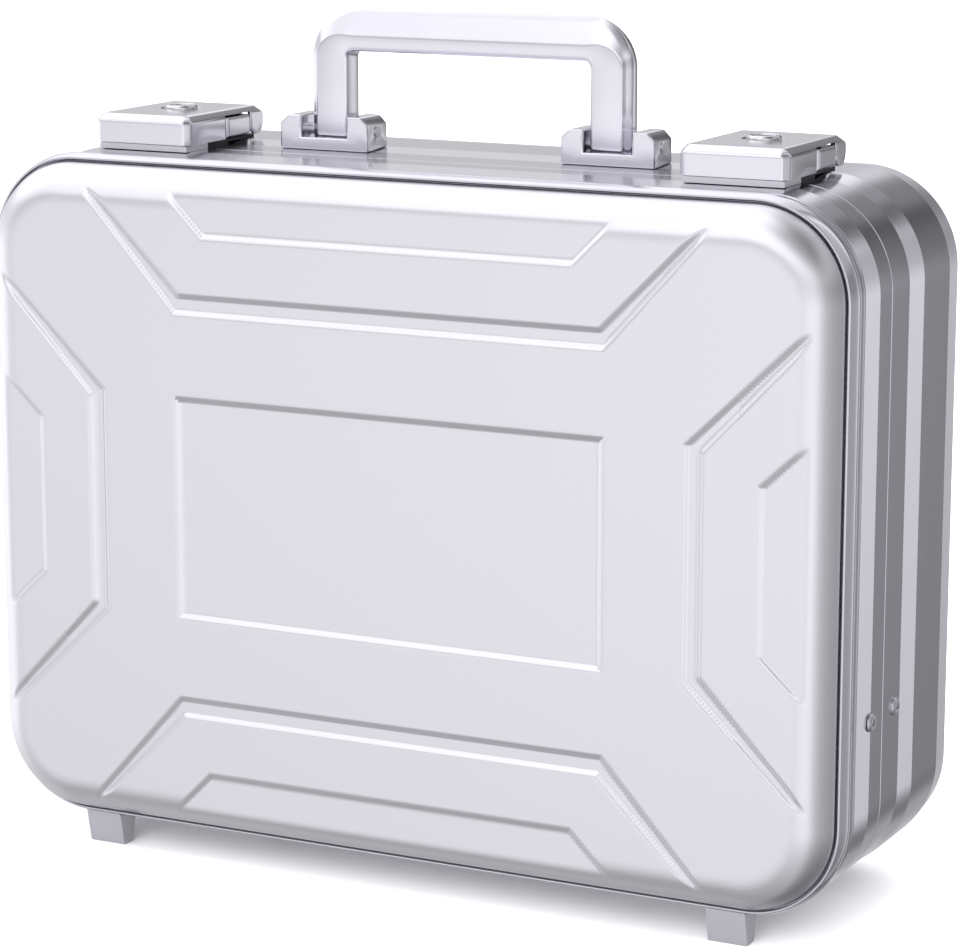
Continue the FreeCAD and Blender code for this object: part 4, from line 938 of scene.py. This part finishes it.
def side_screws(half_name, material):
    """The pair of domed screw heads that hold a stay, one on each side of the case."""
    s = bpy.context.scene.case_fittings
    node = "stay_screws_" + half_name
    low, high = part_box(node)
    radius = (high.y - low.y) / 2.0
    centre_y, centre_z = (low.y + high.y) / 2.0, (low.z + high.z) / 2.0
    tall = s.screw_tall
    profile = [(0.5, -s.screw_shank), (0.5, 0.0), (1.0, 0.0), (1.0, 0.35 * tall), (0.93, 0.62 * tall),
               (0.78, 0.86 * tall), (0.6, tall), (0.52, tall), (None, 0.9 * tall),
               (None, 0.3 * tall)]
    points, faces = [], []
    for way in (-1.0, 1.0):
        spots, rings = turned_head(radius, profile, hexagon(s.socket), SCREW_STEPS)
        first = len(points)
        seat = high.x - tall
        for along, a, b in spots:
            points.append((way * (seat + along), centre_y + way * a, centre_z + b))
        faces += [[first + i for i in face] for face in rings]
    name = node + "_domed"
    piece(name, mesh_from(name, points, faces), half_name, node, [material], 30.0)


# ---------------------------------------------------------------- foam
def band(points, faces, ring, places):
    """Adds a ring of points and joins it to the last ring; returns the new one."""
    below = [len(points) + k for k in range(len(ring))]
    points.extend(places)
    for k in range(len(ring)):
        j = (k + 1) % len(ring)
        faces.append([ring[k], ring[j], below[j], below[k]])
    return below


def wavy_pad(material):
    """The lid's convoluted foam pad, with rows of soft peaks towards the gear."""
    s = bpy.context.scene.case_fittings
    low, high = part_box("lid_foam")
    half_x, half_z = (high.x - low.x) / 2.0, (high.z - low.z) / 2.0
    centre_z = (low.z + high.z) / 2.0
    corner, rounds, fade, back_round = s.foam_corner, s.foam_rounds, s.foam_fade, s.foam_back
    steps_x, steps_z = [round(2.0 * half / s.foam_grid) for half in (half_x, half_z)]
    us, vs = np.linspace(-1.0, 1.0, steps_x + 1), np.linspace(-1.0, 1.0, steps_z + 1)

    def squeezed(u, v):
        """Maps the square onto a rounded rectangle, keeping its middle even."""
        x, z = u * half_x, v * half_z
        px, pz = abs(x) - (half_x - corner), abs(z) - (half_z - corner)
        if px > 0.0 and pz > 0.0:
            most = max(px, pz)
            reach = math.hypot(px, pz)
            px, pz = px * most / reach, pz * most / reach
            x = math.copysign(half_x - corner + px, x)
            z = math.copysign(half_z - corner + pz, z)
        return x, z

    points, faces = [], []
    for v in vs:
        for u in us:
            x, z = squeezed(u, v)
            wave = 0.5 - 0.5 * math.cos(2.0 * math.pi * x / s.foam_pitch)
            wave *= 0.5 - 0.5 * math.cos(2.0 * math.pi * z / s.foam_pitch)
            inset = min(half_x * (1.0 - abs(u)), half_z * (1.0 - abs(v)))
            rim, share = min(inset, rounds), min(inset / fade, 1.0)
            drop = rounds - math.sqrt(max(rounds ** 2 - (rounds - rim) ** 2, 0.0))
            sunk = (1.0 - math.sqrt(wave)) * s.foam_wave * (share * share * (3.0 - 2.0 * share))
            points.append((x, high.y - max(sunk, drop), centre_z + z))
    row = steps_x + 1
    for j in range(steps_z):
        for i in range(steps_x):
            at = j * row + i
            faces.append([at, at + row, at + row + 1, at + 1])
    border = [(i, 0) for i in range(steps_x)] + [(steps_x, j) for j in range(steps_z)]
    border += [(steps_x - i, steps_z) for i in range(steps_x)]
    border += [(0, steps_z - j) for j in range(steps_z)]
    ring = [j * row + i for i, j in border]
    outline = [points[k] for k in ring]
    for deep in (0.5 * (low.y + high.y), low.y + back_round):
        ring = band(points, faces, ring, [(x, deep, z) for x, _, z in outline])
    for turn in (30.0, 60.0, 90.0):
        angle = math.radians(turn)
        pull = back_round * (1.0 - math.cos(angle))
        deep = low.y + back_round * (1.0 - math.sin(angle))
        share_x, share_z = (half_x - pull) / half_x, (half_z - pull) / half_z
        ring = band(points, faces, ring,
                    [(x * share_x, deep, centre_z + (z - centre_z) * share_z)
                     for x, _, z in outline])
    faces.append(ring)
    made = piece("lid_foam_waves", mesh_from("lid_foam_waves", points, faces), "lid", "lid_foam",
                 [material], 60.0)


# ---------------------------------------------------------------- operators
class CaseOperator:
    """What all of the case's operators share."""

    bl_options = {"REGISTER", "UNDO"}


class CASE_OT_shells(CaseOperator, bpy.types.Operator):
    """Build the two pressed shells"""

    bl_idname = "case.shells"
    bl_label = "Pressed shells"

    def execute(self, context):
        finish = blasted_aluminium(context.scene.case_colours.shell)
        for half_name in HALVES:
            pressed_shell(half_name, finish)
        return {"FINISHED"}


class CASE_OT_frames(CaseOperator, bpy.types.Operator):
    """Build the two extruded frames and finish the seal between them"""

    bl_idname = "case.frames"
    bl_label = "Extruded frames"

    def execute(self, context):
        colours = context.scene.case_colours
        # One brushed metal in two copies: the darker one on the flats is painted shade, and the lighter
        # one on the facets and bead is painted highlight.
        painted_tones = [brushed_aluminium("brushed_aluminium_painted_shade", colours.flat, 0.16, 0.22),
                    brushed_aluminium("brushed_aluminium_painted_highlight", colours.facet, 0.16, 0.22)]
        swept_ring("lid", lid_section(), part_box("lid_frame")[0].y, 1.0, painted_tones)
        swept_ring("base", base_section(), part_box("base_frame")[1].y, -1.0, painted_tones)
        paint(black_rubber(colours.rubber), "lid_seal")
        return {"FINISHED"}


class CASE_OT_handle(CaseOperator, bpy.types.Operator):
    """Finish the carrying handle, its brackets and pins"""

    bl_idname = "case.handle"
    bl_label = "Handle"

    def execute(self, context):
        sizes = context.scene.case_fittings
        casting = satin_casting(context.scene.case_colours.casting)
        carrying_handle(casting)
        for side in SIDES:
            soften("handle_bracket_" + side, sizes.bracket_edge, casting,
                   2.0 * sizes.bracket_edge)
        paint(plated_steel(context.scene.case_colours.steel), "handle_pins")
        return {"FINISHED"}


class CASE_OT_latches(CaseOperator, bpy.types.Operator):
    """Finish the latches, their buttons, key cylinders and inner parts"""

    bl_idname = "case.latches"
    bl_label = "Latches"

    def execute(self, context):
        sizes = context.scene.case_fittings
        colours = context.scene.case_colours
        casting = satin_casting(colours.casting)
        steel = plated_steel(colours.steel)
        chrome = polished_chrome(colours.chrome)
        inner = moulded_plastic("black_moulded_plastic", colours.inner, 0.55, 0.0)
        for side in SIDES:
            soften("latch_cover_" + side, sizes.cover_edge, casting,
                   2.0 * sizes.cover_edge, 0.5 * MM)
            for which in ("outer", "inner"):
                soften("release_button_%s_%s" % (side, which), sizes.button_edge,
                       casting)
            key_cylinder(side, chrome)
            soften("strike_plate_" + side, sizes.stamped_edge, steel)
            paint(inner, "latch_base_" + side)
            paint(steel, "latch_pin_" + side, "latch_hook_" + side, "key_cam_" + side,
                  "button_springs_" + side)
        paint(steel, "strike_rivets", "top_screws")
        return {"FINISHED"}


class CASE_OT_hinges(CaseOperator, bpy.types.Operator):
    """Finish the hinges, lid stays and their fasteners"""

    bl_idname = "case.hinges"
    bl_label = "Hinges and stays"

    def execute(self, context):
        sizes = context.scene.case_fittings
        steel = plated_steel(context.scene.case_colours.steel)
        paint(steel, "hinge_pins", "hinge_rivets_lid", "hinge_rivets_base", "stay_studs_lid",
              "stay_studs_base")
        for side in SIDES:
            for half_name in HALVES:
                soften("hinge_leaf_%s_%s" % (half_name, side), sizes.stamped_edge, steel)
                soften("stay_%s_%s" % (half_name, side), sizes.stamped_edge, steel)
            paint(steel, "stay_knee_" + side)
        for half_name in HALVES:
            side_screws(half_name, steel)
        return {"FINISHED"}


class CASE_OT_feet(CaseOperator, bpy.types.Operator):
    """Finish the four feet"""

    bl_idname = "case.feet"
    bl_label = "Feet"

    def execute(self, context):
        finish = moulded_plastic("silver_moulded_plastic", context.scene.case_colours.foot,
                                 0.35, 0.6)
        for side in SIDES:
            for half_name in HALVES:
                soften("foot_%s_%s" % (half_name, side), context.scene.case_fittings.foot_edge,
                       finish)
        return {"FINISHED"}


class CASE_OT_foam(CaseOperator, bpy.types.Operator):
    """Build the lid's wavy pad and the base's cut inlay"""

    bl_idname = "case.foam"
    bl_label = "Foam"

    def execute(self, context):
        finish = cut_foam(context.scene.case_colours.foam)
        wavy_pad(finish)
        inlay = soften("base_foam", context.scene.case_fittings.foam_edge, finish)
        return {"FINISHED"}


class CASE_OT_stage(CaseOperator, bpy.types.Operator):
    """Add the floor, the soft studio light and the camera"""

    bl_idname = "case.stage"
    bl_label = "Floor, light and camera"

    def execute(self, context):
        scene = context.scene
        reach = 14.0
        floor_mesh = mesh_from("floor", [(-reach, -reach, 0.0), (reach, -reach, 0.0),
                                         (reach, reach, 0.0), (-reach, reach, 0.0)],
                               [[0, 1, 2, 3]])
        floor = bpy.data.objects.new("floor", floor_mesh)
        scene.collection.objects.link(floor)
        material, _, _ = new_material("pale_floor", scene.case_colours.floor, Roughness=0.9)
        floor_mesh.materials.append(material)
        floor.visible_glossy = False
        studio_world(scene)
        soft_light("overhead_light", Vector((0.0, 0.0, 5.0)), Vector(), 12.0, 850.0)
        centre = (cad_box[0] + cad_box[1]) / 2.0
        soft_light("key_light", centre + Vector((-1.4, -1.2, 2.0)), centre, 1.6, 22.0)
        soft_light("fill_light", Vector((0.3, -3.0, 0.9)), Vector(), 3.0, 150.0)
        soft_light("side_light", Vector((3.0, 0.3, 0.9)), Vector(), 3.0, 60.0)
        camera = bpy.data.cameras.new("camera")
        camera.lens = 129.0
        holder = bpy.data.objects.new("camera", camera)
        holder.location = (0.6613, -1.3035, 0.4764)
        holder.rotation_euler = [math.radians(a) for a in (78.18, 0.0, 26.67)]
        scene.collection.objects.link(holder)
        scene.camera = holder
        scene.view_settings.view_transform = "Standard"
        return {"FINISHED"}


def soft_light(name, place, target, size, power):
    """A square softbox that faces the case."""
    light = bpy.data.lights.new(name, "AREA")
    light.size = size
    light.energy = power
    made = bpy.data.objects.new(name, light)
    made.location = place
    made.rotation_euler = (target - place).to_track_quat("-Z", "Y").to_euler()
    made.visible_glossy = False
    bpy.context.scene.collection.objects.link(made)


# Brightness of the surroundings by compass angle, in degrees from the back towards the right.
# A bright wall stands front left, a dark flag right behind, and a strip light beside the flag.
SURROUND = ((0, 0.62), (8, 0.72), (11, 0.36), (14, 0.22), (22.5, 0.22), (25, 0.9), (31, 1.0),
            (36, 0.48), (60, 0.42), (90, 0.52), (116, 0.72), (132, 1.3), (150, 1.28), (172, 1.08),
            (200, 1.19), (209, 1.11), (217, 0.94), (232, 0.95), (262, 1.35), (295, 1.3),
            (315, 1.0), (345, 0.95), (360, 0.62))
# The same by height, from straight down (-1) to straight up (1).
BY_HEIGHT = ((-1.0, 0.35), (-0.6, 0.55), (-0.31, 0.86), (-0.12, 1.06), (0.04, 0.68), (0.22, 0.62),
             (0.33, 1.1), (0.6, 1.28), (1.0, 1.25))
BRIGHTEST = 1.4
# Small dark flags: direction, cosine where each starts and is full, brightness behind it.
# The first shades the shells' upper corners, the second the frames' upper corners.
FLAGS = (((0.5, -0.36, 0.78), 0.78, 0.98, 0.25), ((0.1, 0.92, 0.37), 0.955, 0.985, 0.4))


def level_ramp(tree, value, stops, low, high):
    """Turns a value into a brightness by way of a ramp from low to high."""
    span = add_node(tree, "ShaderNodeMapRange", {"From Min": low, "From Max": high},
                    {"Value": value})
    ramp = add_node(tree, "ShaderNodeValToRGB", links={"Fac": span.outputs["Result"]})
    elements = ramp.color_ramp.elements
    while len(elements) < len(stops):
        elements.new(0.5)
    for element, (at, level) in zip(elements, stops):
        element.position = (at - low) / (high - low)
        element.color = [level / BRIGHTEST] * 3 + [1.0]
    return ramp.outputs["Color"]


def studio_world(scene):
    """Soft surrounding light of a photo studio, as seen in the metal."""
    world = bpy.data.worlds.new("studio")
    world.use_nodes = True
    tree = world.node_tree
    where = add_node(tree, "ShaderNodeTexCoord")
    parts = add_node(tree, "ShaderNodeSeparateXYZ", links={"Vector": where.outputs["Generated"]})
    compass = add_node(tree, "ShaderNodeMath", {"operation": "ARCTAN2"},
                       {0: parts.outputs["X"], 1: parts.outputs["Y"]})
    turn = add_node(tree, "ShaderNodeMath", {"operation": "WRAP", 1: 2.0 * math.pi, 2: 0.0},
                    {0: compass.outputs["Value"]})
    around = level_ramp(tree, turn.outputs["Value"], [(math.radians(a), b) for a, b in SURROUND],
                        0.0, 2.0 * math.pi)
    upward = level_ramp(tree, parts.outputs["Z"], BY_HEIGHT, -1.0, 1.0)
    both = add_node(tree, "ShaderNodeVectorMath", {"operation": "MULTIPLY"},
                    {0: around, 1: upward})
    light = both
    for way, starts, full, level in FLAGS:
        toward = add_node(tree, "ShaderNodeVectorMath", {"operation": "DOT_PRODUCT", 1: way},
                          {0: where.outputs["Generated"]})
        flag = add_node(tree, "ShaderNodeMapRange",
                        {"From Min": starts, "From Max": full, "To Min": 1.0, "To Max": level,
                         "interpolation_type": "SMOOTHSTEP"}, {"Value": toward.outputs["Value"]})
        light = add_node(tree, "ShaderNodeVectorMath", {"operation": "SCALE"},
                         {0: light.outputs["Vector"], "Scale": flag.outputs["Result"]})
    tint = add_node(tree, "ShaderNodeVectorMath", {"operation": "MULTIPLY", 1: (1.0, 0.995, 1.02)},
                    {0: light.outputs["Vector"]})
    back = tree.nodes["Background"]
    tree.links.new(tint.outputs["Vector"], back.inputs["Color"])
    back.inputs["Strength"].default_value = BRIGHTEST ** 2
    scene.world = world


class CASE_PT_panel(bpy.types.Panel):
    """Lists the case's pieces and the values behind them"""

    bl_label = "Carrying case"
    bl_idname = "CASE_PT_panel"
    bl_space_type = "VIEW_3D"
    bl_region_type = "UI"
    bl_category = "Case"

    def draw(self, context):
        for operator in OPERATORS:
            self.layout.operator(operator.bl_idname)
        for name, group in SETTINGS.items():
            column = self.layout.column(align=True)
            for prop in group.__annotations__:
                column.prop(getattr(context.scene, name), prop)


OPERATORS = (CASE_OT_stage, CASE_OT_shells, CASE_OT_frames, CASE_OT_handle, CASE_OT_latches,
             CASE_OT_hinges, CASE_OT_feet, CASE_OT_foam)


def register():
    for group in SETTINGS.values():
        bpy.utils.register_class(group)
    for operator in OPERATORS:
        bpy.utils.register_class(operator)
    bpy.utils.register_class(CASE_PT_panel)
    for name, group in SETTINGS.items():
        setattr(bpy.types.Scene, name, PointerProperty(type=group))


def unregister():
    for name in SETTINGS:
        delattr(bpy.types.Scene, name)
    bpy.utils.unregister_class(CASE_PT_panel)
    for operator in reversed(OPERATORS):
        bpy.utils.unregister_class(operator)
    for group in reversed(list(SETTINGS.values())):
        bpy.utils.unregister_class(group)


def main():
    register()
    bpy.ops.case.stage()
    bpy.ops.case.shells()
    bpy.ops.case.frames()
    bpy.ops.case.handle()
    bpy.ops.case.latches()
    bpy.ops.case.hinges()
    bpy.ops.case.feet()
    bpy.ops.case.foam()


if __name__ == "__main__":
    main()
